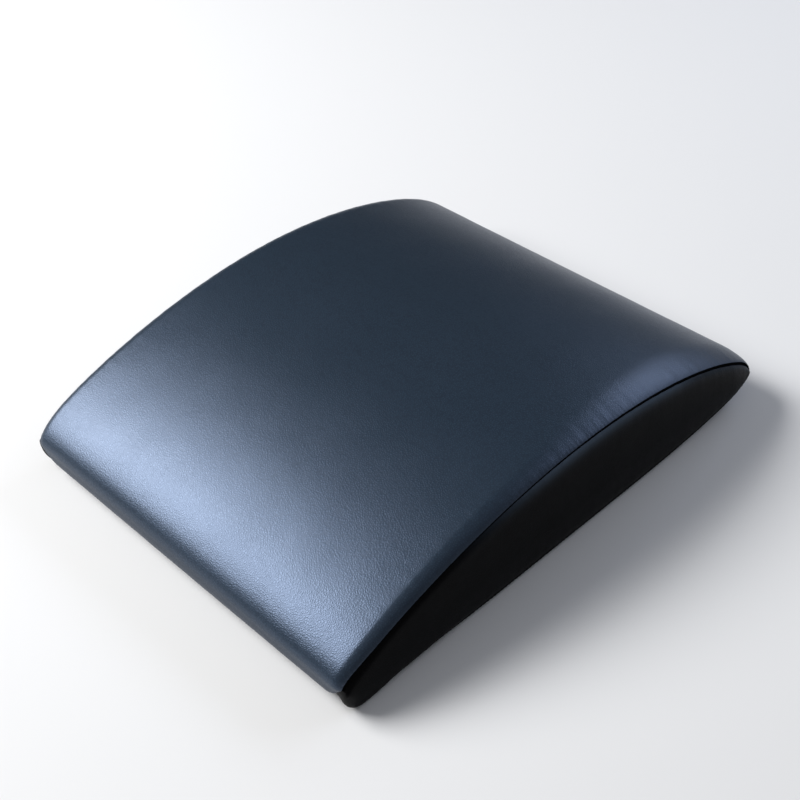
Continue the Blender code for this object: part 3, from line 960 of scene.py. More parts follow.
@dataclass(frozen=True)
class SewingThread(Finish):
    """Bonded polyester thread, twisted from three plies.

    The eye sees a dull black line with a fine slanting rib. The real rib is 0.15 mm wide and is
    drawn at 0.4 mm, so that it shows at all.
    """

    name: str = "bonded_polyester_thread"
    colour: str = "#17181b"
    shade: str = "#0b0b0d"
    rib_mm: float = 0.4
    bands_per_scale: float = 3.0
    unevenness: float = 1.5
    relief_mm: float = 0.05
    roughness: float = 0.6
    sheen: float = 0.15

    def look(self, tree: Tree, place: Socket) -> Inputs:
        """Draws the twisted plies.

        Args:
            tree: The material's node tree.
            place: Coordinates on the piece, in metres.

        Returns:
            The shader's inputs.
        """
        scale = per_mm(self.rib_mm) / self.bands_per_scale
        bands = {"Scale": scale, "Distortion": self.unevenness, "Detail": 1.0, "Vector": place}
        twist = add_node(tree, "TexWave", bands, bands_direction="DIAGONAL").outputs["Fac"]
        look = self.marked(tree, twist, (self.shade, self.colour), twist, self.relief_mm)
        return look | {"Roughness": self.roughness, "Sheen Weight": self.sheen}


@dataclass(frozen=True)
class WovenTape(Finish):
    """Polyester zip tape, woven in a herringbone.

    The eye sees matt black cloth with slanting ribs that change direction every two millimetres.
    """

    name: str = "woven_polyester_tape"
    tilt: float = 0.0
    rib: str = "#1c1c1f"
    gap: str = "#08080a"
    rib_mm: float = 0.9
    band_mm: float = 2.0
    fuzz_mm: float = 0.3
    fuzz_relief: float = 0.4
    relief_mm: float = 0.12
    roughness: float = 0.85
    sheen: float = 0.2

    def look(self, tree: Tree, place: Socket) -> Inputs:
        """Draws the herringbone in the tape's own plane.

        Args:
            tree: The material's node tree.
            place: Coordinates on the piece, in metres.

        Returns:
            The shader's inputs.
        """
        turn = {"Vector": place, "Angle": -self.tilt}
        flat = add_node(tree, "VectorRotate", turn, rotation_type="X_AXIS").outputs[0]
        axes = add_node(tree, "SeparateXYZ", {0: flat})
        steps = (
            ("PINGPONG", {0: axes.outputs["Y"], 1: self.band_mm * MM}),
            ("ADD", {1: axes.outputs["X"]}),
            ("MULTIPLY", {1: 2.0 * math.pi * per_mm(self.rib_mm)}),
            ("SINE", {}),
        )
        wave: Inputs = {}
        for operation, inputs in steps:
            wave = {0: add_node(tree, "Math", wave | inputs, operation=operation).outputs[0]}
        ribs = add_node(tree, "MapRange", {"Value": wave[0], "From Min": -1.0}).outputs["Result"]
        fuzz = add_node(tree, "TexNoise", {"Scale": per_mm(self.fuzz_mm), "Detail": 2.0, "Vector": place})
        rise = {0: fuzz.outputs["Fac"], 1: self.fuzz_relief, 2: ribs}
        cloth = add_node(tree, "Math", rise, operation="MULTIPLY_ADD").outputs[0]
        look = self.marked(tree, ribs, (self.gap, self.rib), cloth, self.relief_mm)
        return look | {"Roughness": self.roughness, "Sheen Weight": self.sheen}


@dataclass(frozen=True)
class MouldedAcetal(Finish):
    """Acetal zip teeth, injection moulded on to their tape.

    The eye sees a waxy dark grey with a satin gleam on each tooth and faint flow marks.
    """

    name: str = "moulded_acetal"
    colour: str = "#26262a"
    shade: str = "#19191c"
    flow_mm: float = 2.0
    relief_mm: float = 0.02
    glossy: float = 0.30
    dull: float = 0.46
    ior: float = 1.48

    def look(self, tree: Tree, place: Socket) -> Inputs:
        """Draws the flow marks.

        Args:
            tree: The material's node tree.
            place: Coordinates on the piece, in metres.

        Returns:
            The shader's inputs.
        """
        noise = {"Scale": per_mm(self.flow_mm), "Detail": 4.0, "Vector": place}
        flow = add_node(tree, "TexNoise", noise).outputs["Fac"]
        ends = {"Value": flow, "To Min": self.glossy, "To Max": self.dull}
        rough = add_node(tree, "MapRange", ends).outputs["Result"]
        look = self.marked(tree, flow, (self.shade, self.colour), flow, self.relief_mm)
        return look | {"Roughness": rough, "IOR": self.ior}


@dataclass(frozen=True)
class EnamelledZinc(Finish):
    """Die-cast zinc under black stoved enamel.

    The eye sees a hard satin black with a faint orange-peel ripple, and duller patches where
    hands rub it.
    """

    name: str = "enamelled_zinc"
    enamel: str = "#1b1b1e"
    rubbed: str = "#2b2b2f"
    ripple_mm: float = 0.8
    relief_mm: float = 0.01
    patch_mm: float = 3.5
    worn_from: float = 0.35
    worn_until: float = 0.75
    glossy: float = 0.27
    dull: float = 0.42

    def look(self, tree: Tree, place: Socket) -> Inputs:
        """Draws the ripple and the rubbed patches.

        Args:
            tree: The material's node tree.
            place: Coordinates on the piece, in metres.

        Returns:
            The shader's inputs.
        """
        noises = (
            {"Scale": per_mm(size), "Detail": detail, "Vector": place}
            for size, detail in ((self.ripple_mm, 2.0), (self.patch_mm, 3.0))
        )
        ripple, patches = (add_node(tree, "TexNoise", noise).outputs["Fac"] for noise in noises)
        wear = {"Value": patches, "From Min": self.worn_from, "From Max": self.worn_until}
        worn = add_node(tree, "MapRange", wear, interpolation_type="SMOOTHSTEP").outputs["Result"]
        ends = {"Value": worn, "To Min": self.glossy, "To Max": self.dull}
        rough = add_node(tree, "MapRange", ends).outputs["Result"]
        look = self.marked(tree, worn, (self.enamel, self.rubbed), ripple, self.relief_mm)
        return look | {"Roughness": rough}


@dataclass(frozen=True)
class OpenCellFoam(Finish):
    """Moulded polyurethane foam with open cells.

    The eye sees a dusty mid grey, pitted all over, with no highlight.
    """

    name: str = "open_cell_foam"
    rim: str = "#77787a"
    cell: str = "#4a4b4d"
    cell_mm: float = 0.9
    pit_edge: float = 0.4
    relief_mm: float = 0.4
    roughness: float = 0.95
    shine: float = 0.2

    def look(self, tree: Tree, place: Socket) -> Inputs:
        """Draws the cells.

        Args:
            tree: The material's node tree.
            place: Coordinates on the piece, in metres.

        Returns:
            The shader's inputs.
        """
        cells = {"Scale": per_mm(self.cell_mm), "Vector": place}
        edge = add_node(tree, "TexVoronoi", cells, feature="DISTANCE_TO_EDGE").outputs["Distance"]
        ends = {"Value": edge, "From Max": self.pit_edge, "To Min": 1.0, "To Max": 0.0}
        pit = add_node(tree, "MapRange", ends).outputs["Result"]
        look = self.marked(tree, pit, (self.cell, self.rim), pit, self.relief_mm)
        return look | {"Roughness": self.roughness, "Specular IOR Level": self.shine}


@dataclass(frozen=True)
class StudioPaper(Finish):
    """Matt studio paper: white under the mat and grey towards the walls, so that they stay dim."""

    name: str = "studio_paper"
    near: str = "#e6e6e6"
    far: str = "#6a6a6a"
    fade_start: float = 1.0
    fade_end: float = 1.7
    roughness: float = 0.9

    def look(self, tree: Tree, place: Socket) -> Inputs:
        """Draws the fade from the middle of the floor outwards.

        Args:
            tree: The material's node tree.
            place: Coordinates on the floor, in metres.

        Returns:
            The shader's inputs.
        """
        reach = add_node(tree, "VectorMath", {0: place}, operation="LENGTH").outputs["Value"]
        ends = {"Value": reach, "From Min": self.fade_start, "From Max": self.fade_end}
        faded = add_node(tree, "MapRange", ends, interpolation_type="SMOOTHSTEP").outputs["Result"]
        colours = {SHARE: faded, FIRST: srgb(self.near), SECOND: srgb(self.far)}
        return {
            "Base Color": add_node(tree, "Mix", colours, data_type="RGBA").outputs[MIXED],
            "Roughness": self.roughness,
            "Specular IOR Level": 0.0,
        }


@dataclass(frozen=True)
class Finishes:
    """The finishes of all the pieces."""

    top: Material
    side: Material
    # The turned edges' finish paints the shade in the seam grooves.
    edge: Material
    base: Material
    thread: Material
    tape: Material
    teeth: Material
    metal: Material
    foam: Material

    @classmethod
    def build(cls, shape: MatShape) -> "Finishes":
        """Makes every finish.

        Args:
            shape: The mat's shape, whose zip tilt turns the tape's weave.

        Returns:
            The finishes.
        """
        top = PebbledLeather(
            name="embossed_pu_leather",
            crown="#1f2e3b",
            valley="#121d28",
            # Painted shade: the top turns to this darker colour towards its seams and over its nose.
            stretched="#0f161e",
            roughness=0.37,
            shine=1.0,
            # The bluish specular tint paints the cool colour of the light into the leather's reflections.
            tint="#bdd3f8",
            seam_polish=-0.25,
        )
        # A darker copy of the top's leather: its near-black is painted shade, and its paler stretched colour
        # a painted highlight under the top seam.
        side = PebbledLeather(
            name="embossed_pu_leather_matt_painted_light",
            crown="#040406",
            valley="#020203",
            stretched="#738498",
            seam_fade=2.0,
            roughness=0.52,
            shine=0.06,
            seam_polish=0.15,
        )
        # The turned edges: a dark, dull copy of the leather that paints the shade in the seam grooves.
        edge = PebbledLeather(
            name="pu_leather_turned_edge_painted_shade",
            crown="#0b0c0f",
            valley="#060608",
            stretched="#08090b",
            roughness=0.85,
            shine=0.0,
        )
        return cls(
            top=top.build(),
            side=side.build(),
            edge=edge.build(),
            base=NonSlipVinyl().build(),
            thread=SewingThread().build(),
            tape=WovenTape(tilt=shape.zip_tilt).build(),
            teeth=MouldedAcetal().build(),
            metal=EnamelledZinc().build(),
            foam=OpenCellFoam().build(),
        )


# Sewn cover


@dataclass
class WrappedPanels:
    """The top cover and the base panel, which wrap round the mat and meet the side panels' seams."""

    shape: MatShape
    ruler: SeamRuler
    pull: SeamPull
    row_step: float = 0.75 * MM
    middle_steps: int = 40
    roll_steps: int = 12
    drift: float = 0.10 * MM
    drift_reach: float = 20.0 * MM
    hem: Fold = Fold(0.6 * MM, turn_degrees=180.0, allowance=3.0 * MM)
    lip_height: float = 0.2 * MM
    lip_depth: float = 1.2 * MM
    slot_margin: float = 1.0 * MM
    nose_samples: int = 200
    dome_samples: int = 1600
    lip_samples: int = 150
    base_samples: int = 600
    swell_edge: float = 12.0 * MM
    # Painted shade over the top's nose: its strength, then where it ends and how far it fades
    painted_nose_shade: float = 0.85
    nose_end: float = 22.0 * MM
    nose_fade: float = 12.0 * MM

    def section(self, path: OutlinePath) -> tuple[Array, Array, Array]:
        """Lays out the columns of a wrapped panel from the left seam to the right seam.

        Args:
            path: The panel's stations.

        Returns:
            For each point, its width, its distance inwards and its place in the arch.
        """
        shape = self.shape
        from_tip = eased(path.crown / shape.crown_rise / shape.soft_roll_start)
        softer = (shape.widened_roll_share - shape.soft_roll_share) * path.widening / shape.rear_roll_widening
        left = self.half_section(path, np.zeros_like(softer), np.zeros_like(softer))
        right = self.half_section(path, path.widening, shape.soft_roll_share * from_tip + softer)
        signs = (-1.0, 1.0, 1.0)
        return tuple(
            np.concatenate([sign * near[:, :0:-1], far], axis=1)
            for sign, near, far in zip(signs, left, right, strict=True)
        )

    def half_section(
        self, path: OutlinePath, widening: Array, softness: Array
    ) -> tuple[Array, Array, Array]:
        """Lays out the columns from the middle of the mat to one seam.

        Args:
            path: The panel's stations.
            widening: How much wider than usual the roll is at each station.
            softness: How far, from 0 to 1, its round profile gives way to one that reaches the
                seam at a slant.

        Returns:
            For each point, its width, its distance inwards and its place in the arch.
        """
        half = path.half_width[:, None]
        depth = path.depth[:, None]
        inset = (path.roll + widening)[:, None]
        soft = softness[:, None]
        share = np.linspace(0.0, 1.0, self.middle_steps + 1)[None, :]
        trim = np.arcsin(self.shape.seam_gap / 2 / depth)
        turn = math.pi / 2 + (trim - math.pi / 2) * np.linspace(0.0, 1.0, self.roll_steps + 1)[None, 1:]
        middle_x = (half - inset) * share
        roll_x = half - inset * (1.0 - np.cos(turn))
        slanted = (1.0 - np.sin(trim)) * (np.cos(turn) / np.cos(trim)) ** self.shape.soft_roll_power
        roll_in = depth * ((1.0 - np.sin(turn)) * (1.0 - soft) + slanted * soft)
        arch = (1.0 - share**2) * np.ones_like(half)
        return (
            np.concatenate([middle_x, roll_x], axis=1),
            np.concatenate([np.zeros_like(middle_x), roll_in], axis=1),
            np.concatenate([arch, np.zeros_like(roll_x)], axis=1),
        )

    def panel(self, path: OutlinePath, front_row: int, stuffing: Stuffing | None) -> tuple[Array, Array]:
        """Shapes a wrapped panel.

        Args:
            path: The panel's stations.
            front_row: Which end row is at the front base seam, 0 or -1.
            stuffing: Swells the panel, where it is given.

        Returns:
            The panel's points and its mark, from 0 to 1: how close each is to a seam, raised over the top's
            nose, where shade is painted.
        """
        x, inwards, arch = self.section(path)
        points = path.at(x, inwards, self.shape.length)
        points[..., 2] += path.crown[:, None] * arch
        points[..., 1] -= path.draw[:, None] * arch
        reach = run_length(points, axis=1)
        side_distance = np.minimum(reach, reach[:, -1:] - reach)
        travel = run_length(points, axis=0)
        front_distance = travel if front_row == 0 else travel[-1:] - travel
        if stuffing is not None:
            edge = np.minimum(side_distance, np.minimum(travel, travel[-1:] - travel))
            points = points + stuffing.swell(points) * eased(edge / self.swell_edge)[..., None]
        rise = self.pull.rise(self.ruler.count(path.y, path.upper)[:, None], side_distance)
        rise += self.pull.rise(x / self.ruler.stitch, front_distance)
        rise += surface_drift(points, self.drift) * np.clip(side_distance / self.drift_reach, 0.0, 1.0)
        # On the top cover the finish reads this mark as painted shade, darker towards the seams and over the
        # nose, which it also dulls.
        near = seam_mark(np.minimum(side_distance, front_distance))
        if front_row == 0:
            nose = 1.0 - eased((travel - self.nose_end) / self.nose_fade)
            near = np.maximum(near, self.painted_nose_shade * nose)
        return points + grid_normals(points) * rise[..., None], near

    def top_path(self) -> OutlinePath:
        """Stations from the front base seam round the nose, over the dome and round the rear lip."""
        shape = self.shape
        turn = np.linspace(0.0, math.pi / 2, self.nose_samples)
        nose_y = shape.front_nose_length * (1.0 - np.sin(turn))
        nose = np.stack([nose_y, shape.front_tip_height * (1.0 - np.cos(turn))])
        dome_y = shape.station(np.linspace(0.0, math.pi, self.dome_samples)[1:])
        dome = np.stack([dome_y, shape.dome_height(dome_y)])
        edge = float(shape.lift_angle(shape.zip_slot_half_width))
        lip = np.stack(shape.lift_point(np.linspace(math.pi / 2, edge, self.lip_samples)[1:]))
        y, z = np.concatenate([nose, dome, lip], axis=1)
        upper = np.concatenate([np.zeros(nose.shape[1]), np.ones(dome.shape[1]), np.zeros(lip.shape[1])])
        return self.spaced(OutlinePath.along(shape, y, z, upper), trim_start=True)

    def base_path(self) -> OutlinePath:
        """Stations from the ears beside the zip down the rear lift and along the flat base."""
        shape = self.shape
        ear = float(shape.lift_angle(shape.zip_slot_half_width - shape.seam_gap))
        lift = np.stack(shape.lift_point(np.linspace(ear, 0.0, self.base_samples)))
        front = shape.front_nose_length + shape.seam_gap / 2
        flat_y = np.linspace(shape.lift_start, front, self.base_samples)[1:]
        y = np.concatenate([lift[0], flat_y])
        z = np.concatenate([lift[1], np.zeros_like(flat_y)])
        return self.spaced(OutlinePath.along(shape, y, z, np.zeros_like(y)), trim_start=False)

    def spaced(self, path: OutlinePath, trim_start: bool) -> OutlinePath:
        """Spaces a path's stations evenly, and starts it half a seam's width late where it is asked."""
        total = float(np.hypot(np.diff(path.y), np.diff(path.z)).sum())
        even = path.resampled(int(total / self.row_step) + 1)
        if not trim_start:
            return even
        first = round(self.shape.seam_gap / 2 / self.row_step)
        return OutlinePath(**{item.name: getattr(even, item.name)[first:] for item in fields(even)})

    def build_top(self, finishes: Finishes, stuffing: Stuffing) -> None:
        """Builds the top cover, with its edges turned under.

        Args:
            finishes: The mat's finishes.
            stuffing: Swells the cover between its seams.
        """
        points, near = self.panel(self.top_path(), 0, stuffing)
        mesh = grid_mesh("top_leather_cover", points, seam=near)
        lip_y = points[-1, :, 1].max() - self.lip_depth
        lip_z = points[-1, :, 2].max() + self.lip_height

        def at_zip(place: Vector) -> bool:
            return place.y > lip_y and place.z < lip_z and abs(place.x) < self.shape.crest

        # The turned faces take the second finish, which paints the seam groove's shade.
        Fold(self.shape.seam_gap / 2, finish_number=1).apply(mesh, lambda place: not at_zip(place))
        self.hem.apply(mesh, at_zip)
        cover = mesh_piece("top_leather_cover", mesh, finishes.top, finishes.edge)
        report(cover, "mat", "top_leather", "top_cover")

    def build_base(self, finish: Material) -> None:
        """Builds the base panel, with a slot for the zip between its two ears.

        Args:
            finish: The base vinyl.
        """
        shape = self.shape
        points, near = self.panel(self.base_path(), -1, None)
        points[..., 2] = np.maximum(points[..., 2], 0.0)
        slot_y = shape.lift_point(shape.lift_angle(-shape.zip_slot_half_width))[0] - shape.length / 2
        middle = (points[:-1, :-1] + points[1:, 1:]) / 2
        slot = (middle[..., 1] > slot_y) & (np.abs(middle[..., 0]) < shape.crest)
        mesh = grid_mesh("nonslip_base_panel", points, keep=~slot, seam=near)
        margin = self.slot_margin
        ear = float(points[0, 0, 1]) - margin

        def in_slot(place: Vector) -> bool:
            return place.y > slot_y - margin and abs(place.x) < shape.crest + margin

        self.hem.apply(mesh, lambda place: in_slot(place) and place.y < ear)
        Fold(shape.seam_gap / 2).apply(mesh, lambda place: not in_slot(place))
        report(mesh_piece("nonslip_base_panel", mesh, finish), "mat", "base_vinyl", "base_panel")


@dataclass
class SidePanels:
    """The two crescent-shaped side panels."""

    shape: MatShape
    ruler: SeamRuler
    pull: SeamPull
    rows: int = 580
    columns: int = 36
    tip_turn: float = 0.008
    end_margin: float = 1.2 * MM
    tuck: float = 0.1 * MM
    drift: float = 0.12 * MM
    swell_edge: float = 8.0 * MM
    stand_out: float = 1.0 * MM
    shoulder: float = 3.0 * MM
    shoulder_reach: float = 5.0 * MM
    front_plump: float = 1.8 * MM
    front_plump_length: float = 22.0 * MM
    bend_start: float = 0.6
    bend_height: float = 4.0 * MM
    bend_most: float = 0.5
    bend_fullness: float = 0.7
    corner_bulge: float = 3.6 * MM
    # Where the painted highlight under the top seam rises and falls, and how much of it stays at the rear, in
    # metres from the front tip
    highlight_rise: tuple[float, float] = (0.060, 0.180)
    highlight_fall: tuple[float, float] = (0.270, 0.310)
    taut_rear_loss: float = 0.42

    def build(self, side: Side, finishes: Finishes, stuffing: Stuffing) -> None:
        """Builds one side panel, with its edges turned under.

        Args:
            side: Which side.
            finishes: The mat's finishes.
            stuffing: Swells the panel between its seams.
        """
        shape = self.shape
        y = shape.station(np.linspace(self.tip_turn, math.pi - self.tip_turn, self.rows))
        upper, lower = (OutlinePath.over(shape, y, above) for above in (True, False))
        top, bottom = (path.seam(shape.length, tuck=self.tuck) for path in (upper, lower))
        share = (1.0 - np.cos(np.linspace(0.0, math.pi, self.columns)))[None, :] / 2
        height = np.linalg.norm((top - bottom)[..., 1:], axis=-1)
        bend = np.minimum(self.bend_height / height, self.bend_most)
        turned = math.pi / 2 * np.clip((share - self.bend_start) / (1.0 - self.bend_start), 0.0, 1.0)
        straight = np.minimum(share / self.bend_start, 1.0)
        down = (1.0 - bend) * straight + bend * np.sin(turned) ** self.bend_fullness
        wrap = (upper.half_width - lower.half_width)[:, None]
        points = top * (1.0 - down[..., None]) + bottom * down[..., None]
        points[..., 0] = top[..., 0] - wrap * (1.0 - np.cos(turned) ** self.bend_fullness)
        outwards = self.corner_bulge * wrap / shape.corner_wrap * np.sin(2.0 * turned) ** self.bend_fullness
        points[..., 1] -= lower.normal_y[:, None] * outwards
        points[..., 2] = np.maximum(points[..., 2] - lower.normal_z[:, None] * outwards, 0.0)
        bulge = shape.side_bulge * np.minimum(1.0, height / shape.side_bulge_height)
        plump = self.front_plump * np.exp(-((y / self.front_plump_length) ** 2))[:, None]
        points[..., 0] += (bulge + plump) * (4.0 * down * (1.0 - down))
        reach = run_length(points, axis=1)
        below = reach[:, -1:] - reach
        inside = np.minimum(reach, below)
        dip = 1.0 - np.clip(inside / self.shoulder_reach, 0.0, 1.0)
        points[..., 0] += self.stand_out - self.shoulder * dip * dip
        held = eased(inside / self.swell_edge)
        points = points + stuffing.swell(points) * held[..., None]
        rise = self.pull.rise(self.ruler.count(y, True)[:, None], reach)
        rise += self.pull.rise(self.ruler.count(y, False)[:, None], below)
        rise += surface_drift(points[..., [1, 2, 0]], self.drift) * held
        points[..., 0] += rise
        # The side's finish paints a highlight by this mark: a paler strip under the top seam, strongest over
        # the dome.
        near = seam_mark(reach) * self.seam_highlight_share(y)[:, None]
        points[..., 0] *= side.value
        if side is Side.LEFT:
            points, near = points[:, ::-1], near[:, ::-1]
        word = side.name.lower()
        name = f"side_leather_{word}"
        mesh = grid_mesh(name, points, seam=near)
        ends = points[[0, -1]].reshape(-1, 3)

        def beside_ends(place: Vector) -> bool:
            return bool(np.linalg.norm(ends - np.array(place), axis=1).min() > self.end_margin)

        # The turned faces take the second finish, which paints the seam groove's shade.
        Fold(shape.seam_gap / 2, finish_number=1).apply(mesh, beside_ends)
        panel = mesh_piece(name, mesh, finishes.side, finishes.edge)
        piece = report(panel, "mat", "side_leather", f"side_panel_{word}")

    def seam_highlight_share(self, y: Array) -> Array:
        """How strongly, from 0 to 1, the painted highlight under the top seam shows at a distance from the
        front tip; the seam's gloss follows it.
        """
        first, full = self.highlight_rise
        last, slack = self.highlight_fall
        gained = eased((y - first) / (full - first))
        return gained * (1.0 - self.taut_rear_loss * eased((y - last) / (slack - last)))


@dataclass
class SeamThreads:
    """Thread of the sewn seams, which shows as a row of short stitches deep in each groove."""

    shape: MatShape
    ruler: SeamRuler
    radius: float = 0.25 * MM
    sunk: float = 0.95 * MM
    dip: float = 0.35 * MM
    per_stitch: int = 8
    sides: int = 6
    never_along: tuple[float, float, float] = (0.31, 0.17, 0.93)

    def tube(self, name: str, centres: Array, closed: bool) -> Mesh:
        """A round tube through points.

        Args:
            name: The mesh's name.
            centres: The points.
            closed: Whether the last point joins the first.

        Returns:
            The mesh.
        """
        if closed:
            along = unit(np.roll(centres, -1, axis=0) - np.roll(centres, 1, axis=0))
        else:
            along = unit(np.gradient(centres, axis=0))
        aside = unit(np.cross(along, np.array(self.never_along)))
        up = np.cross(aside, along)
        turn = 2.0 * math.pi * np.arange(self.sides) / self.sides
        rings = centres[:, None] + self.radius * (
            np.cos(turn)[None, :, None] * aside[:, None] + np.sin(turn)[None, :, None] * up[:, None]
        )
        faces = tube_faces(len(centres), self.sides, closed).tolist()
        if not closed:
            rim = np.arange(self.sides)
            faces += [rim[::-1].tolist(), (rim + (len(centres) - 1) * self.sides).tolist()]
        return solid_mesh(name, rings, faces)

    def build_side(self, side: Side, finish: Material) -> None:
        """Builds the closed thread round one side panel.

        Args:
            side: Which side.
            finish: The thread.
        """
        ruler, shape = self.ruler, self.shape
        runs = []
        for upper, counts in ((True, ruler.above), (False, ruler.below)):
            wanted = np.arange(1, int(abs(counts[-1]) * self.per_stitch)) / self.per_stitch
            y = np.interp(wanted, np.abs(counts), ruler.y)
            sunk = self.sunk + self.dip * stitch_wave(wanted)
            run = OutlinePath.over(shape, y, upper).seam(shape.length, sunk)[:, 0]
            runs.append(run if upper else run[::-1])
        centres = np.concatenate(runs)
        centres[:, 0] *= side.value
        word = side.name.lower()
        name = f"seam_stitches_{word}"
        piece = mesh_piece(name, self.tube(name, centres, closed=True), finish)
        report(piece, "mat", "thread", f"seam_thread_{word}")

    def build_front(self, finish: Material) -> None:
        """Builds the thread across the front of the base.

        Args:
            finish: The thread.
        """
        half = self.shape.crest
        count = int(2.0 * half / self.ruler.stitch * self.per_stitch)
        x = np.linspace(-half, half, count)
        z = self.sunk + self.dip * stitch_wave(x / self.ruler.stitch)
        y = np.full_like(x, self.shape.front_nose_length - self.shape.length / 2)
        mesh = self.tube("base_seam_stitches", np.stack([x, y, z], axis=-1), closed=False)
        piece = mesh_piece("base_seam_stitches", mesh, finish)
        report(piece, "mat", "thread", "base_seam_thread")


@dataclass
class FoamBlock:
    """The foam inside the cover, with its recess behind the zip."""

    shape: MatShape
    inset: float = 1.7 * MM
    recess: float = 4.8 * MM
    recess_half_width: float = 15.5 * MM
    stations: int = 150
    columns: int = 40

    def build(self, finish: Material) -> None:
        """Builds the foam as one closed mesh.

        Args:
            finish: The foam.
        """
        shape = self.shape
        y = shape.station(np.linspace(0.0, math.pi, self.stations))
        around_y = np.concatenate([y, y[-2:0:-1]])
        around_z = np.concatenate([shape.dome_height(y), shape.base_height(y)[-2:0:-1]])
        upper = np.concatenate([np.ones(self.stations), np.zeros(self.stations - 2)])
        path = OutlinePath.along(shape, around_y, around_z, upper)
        share = np.sin(np.linspace(-math.pi / 2, math.pi / 2, self.columns))[None, :]
        half = path.half_width[:, None]
        x = (half - self.inset) * share
        inset = path.roll[:, None] + np.where(x > 0.0, path.widening[:, None], 0.0)
        past = np.clip((np.abs(x) - half + inset) / inset, 0.0, 1.0)
        rolled = path.depth[:, None] * (1.0 - np.sqrt(1.0 - past**2))
        zip_y = float(shape.lift_point(shape.zip_angle)[0])
        near_zip = (np.abs(path.y - zip_y) < self.recess_half_width) & (path.upper < 1)
        inwards = rolled + np.where(near_zip, self.recess, self.inset)[:, None]
        points = path.at(x, inwards, shape.length)
        end = shape.length / 2 - self.inset
        points[..., 1] = np.clip(points[..., 1], -end, end) - path.draw[:, None] * (1.0 - share**2)
        block = mesh_piece("foam_block", self.closed(points), finish)
        report(block, "mat", "foam", "foam_core")

    def closed(self, points: Array) -> Mesh:
        """Joins rings of points into a tube and closes its two sides.

        Args:
            points: Stations round the foam by columns across it.

        Returns:
            The mesh.
        """
        count, columns = points.shape[:2]
        number = np.arange(count * columns).reshape(count, columns)
        following = np.roll(number, -1, axis=0)
        corners = [number[:, :-1], number[:, 1:], following[:, 1:], following[:, :-1]]
        faces = np.stack(corners, axis=-1).reshape(-1, 4).tolist()
        for column, order in ((0, 1), (-1, -1)):
            for place in range(self.stations - 1):
                strip = number[[place, place + 1, count - place - 1, -place], column]
                faces.append(list(dict.fromkeys(strip.tolist()))[::order])
        return solid_mesh("foam_block", points, faces)


# Zip


@dataclass
class ZipTapes:
    """The two woven tapes under the edges of the cover, and the stitches that hold them."""

    shape: MatShape
    inner: float = 3.0 * MM
    outer: float = 12.5 * MM
    depth: float = 1.5 * MM
    thickness: float = 0.55 * MM
    half_length: float = 135.2 * MM
    tail_start: float = 115.1 * MM
    meeting: float = 0.15 * MM
    ripple: float = 0.06 * MM
    stitch_length: float = 2.6 * MM
    stitch_pitch: float = 3.2 * MM
    stitch_radius: float = 0.24 * MM
    stitch_from_slot: float = 2.2 * MM
    stitch_sides: int = 8
    stitch_weld: float = 0.001 * MM
    tail_steps: int = 12
    middle_steps: int = 150
    across_steps: int = 9
    ripple_length: float = 19.0 * MM

    # Rings of a stitch: place along it, then thickness and depth in thread radii
    stitch_rings: tuple[tuple[float, float, float], ...] = (
        (0.0, 0.0, 0.9),
        (0.07, 0.7, 0.35),
        (0.25, 1.0, -0.1),
        (0.5, 1.05, -0.25),
        (0.75, 1.0, -0.1),
        (0.93, 0.7, 0.35),
        (1.0, 0.0, 0.9),
    )

    def build_tape(self, name: str, side: int, finish: Material) -> None:
        """Builds one tape.

        Args:
            name: The CAD node that it stands for.
            side: -1 for the front tape, 1 for the rear tape.
            finish: The woven tape.
        """
        xs = np.concatenate(
            [
                np.linspace(-self.half_length, -self.tail_start, self.tail_steps),
                np.linspace(-self.tail_start, self.tail_start, self.middle_steps)[1:],
                np.linspace(self.tail_start, self.half_length, self.tail_steps)[1:],
            ]
        )
        steps = np.concatenate([[self.meeting], np.linspace(self.inner, self.outer, self.across_steps)])
        across = np.sort(side * steps)[::-1]
        wave = self.ripple * np.sin(xs * 2.0 * math.pi / self.ripple_length)
        points = self.shape.on_zip(xs[None, :], across[:, None], self.depth + self.ripple + wave[None, :])
        keep = np.ones((len(across) - 1, len(xs) - 1), bool)
        inner_row = 0 if side < 0 else -1
        keep[inner_row] = np.abs((xs[:-1] + xs[1:]) / 2) >= self.tail_start
        tape = mesh_piece(f"woven_{name}", grid_mesh(f"woven_{name}", points, keep=keep), finish)
        body = tape.modifiers.new("cloth_thickness", "SOLIDIFY")
        body.thickness = self.thickness
        body.offset = -1.0
        report(tape, "mat", "zip_tape", name)

    def build_stitches(self, name: str, side: int, finish: Material) -> None:
        """Builds the row of top-stitches that holds a panel's edge to its tape.

        Args:
            name: The piece's name.
            side: -1 for the front row, 1 for the rear row.
            finish: The thread.
        """
        half = self.shape.crest
        across = side * (self.shape.zip_slot_half_width + self.stitch_from_slot)
        count = int(2.0 * half / self.stitch_pitch)
        along, thick, sunk = np.array(self.stitch_rings).T[..., None]
        turn = 2.0 * math.pi * np.arange(self.stitch_sides) / self.stitch_sides
        ring_across = across + thick * self.stitch_radius * np.cos(turn)
        ring_depth = (sunk + thick * np.sin(turn)) * self.stitch_radius
        quads = tube_faces(len(self.stitch_rings), self.stitch_sides, closed=False)
        points, faces = [], []
        for stitch in range(count):
            ring_x = (stitch + 0.5) * self.stitch_pitch - half + (along - 0.5) * self.stitch_length
            faces += (quads + stitch * ring_depth.size).tolist()
            points.append(self.shape.on_zip(ring_x, ring_across, ring_depth))
        mesh = solid_mesh(name, np.array(points), faces, joined_within=self.stitch_weld)
        report(mesh_piece(name, mesh, finish), "mat", "thread")


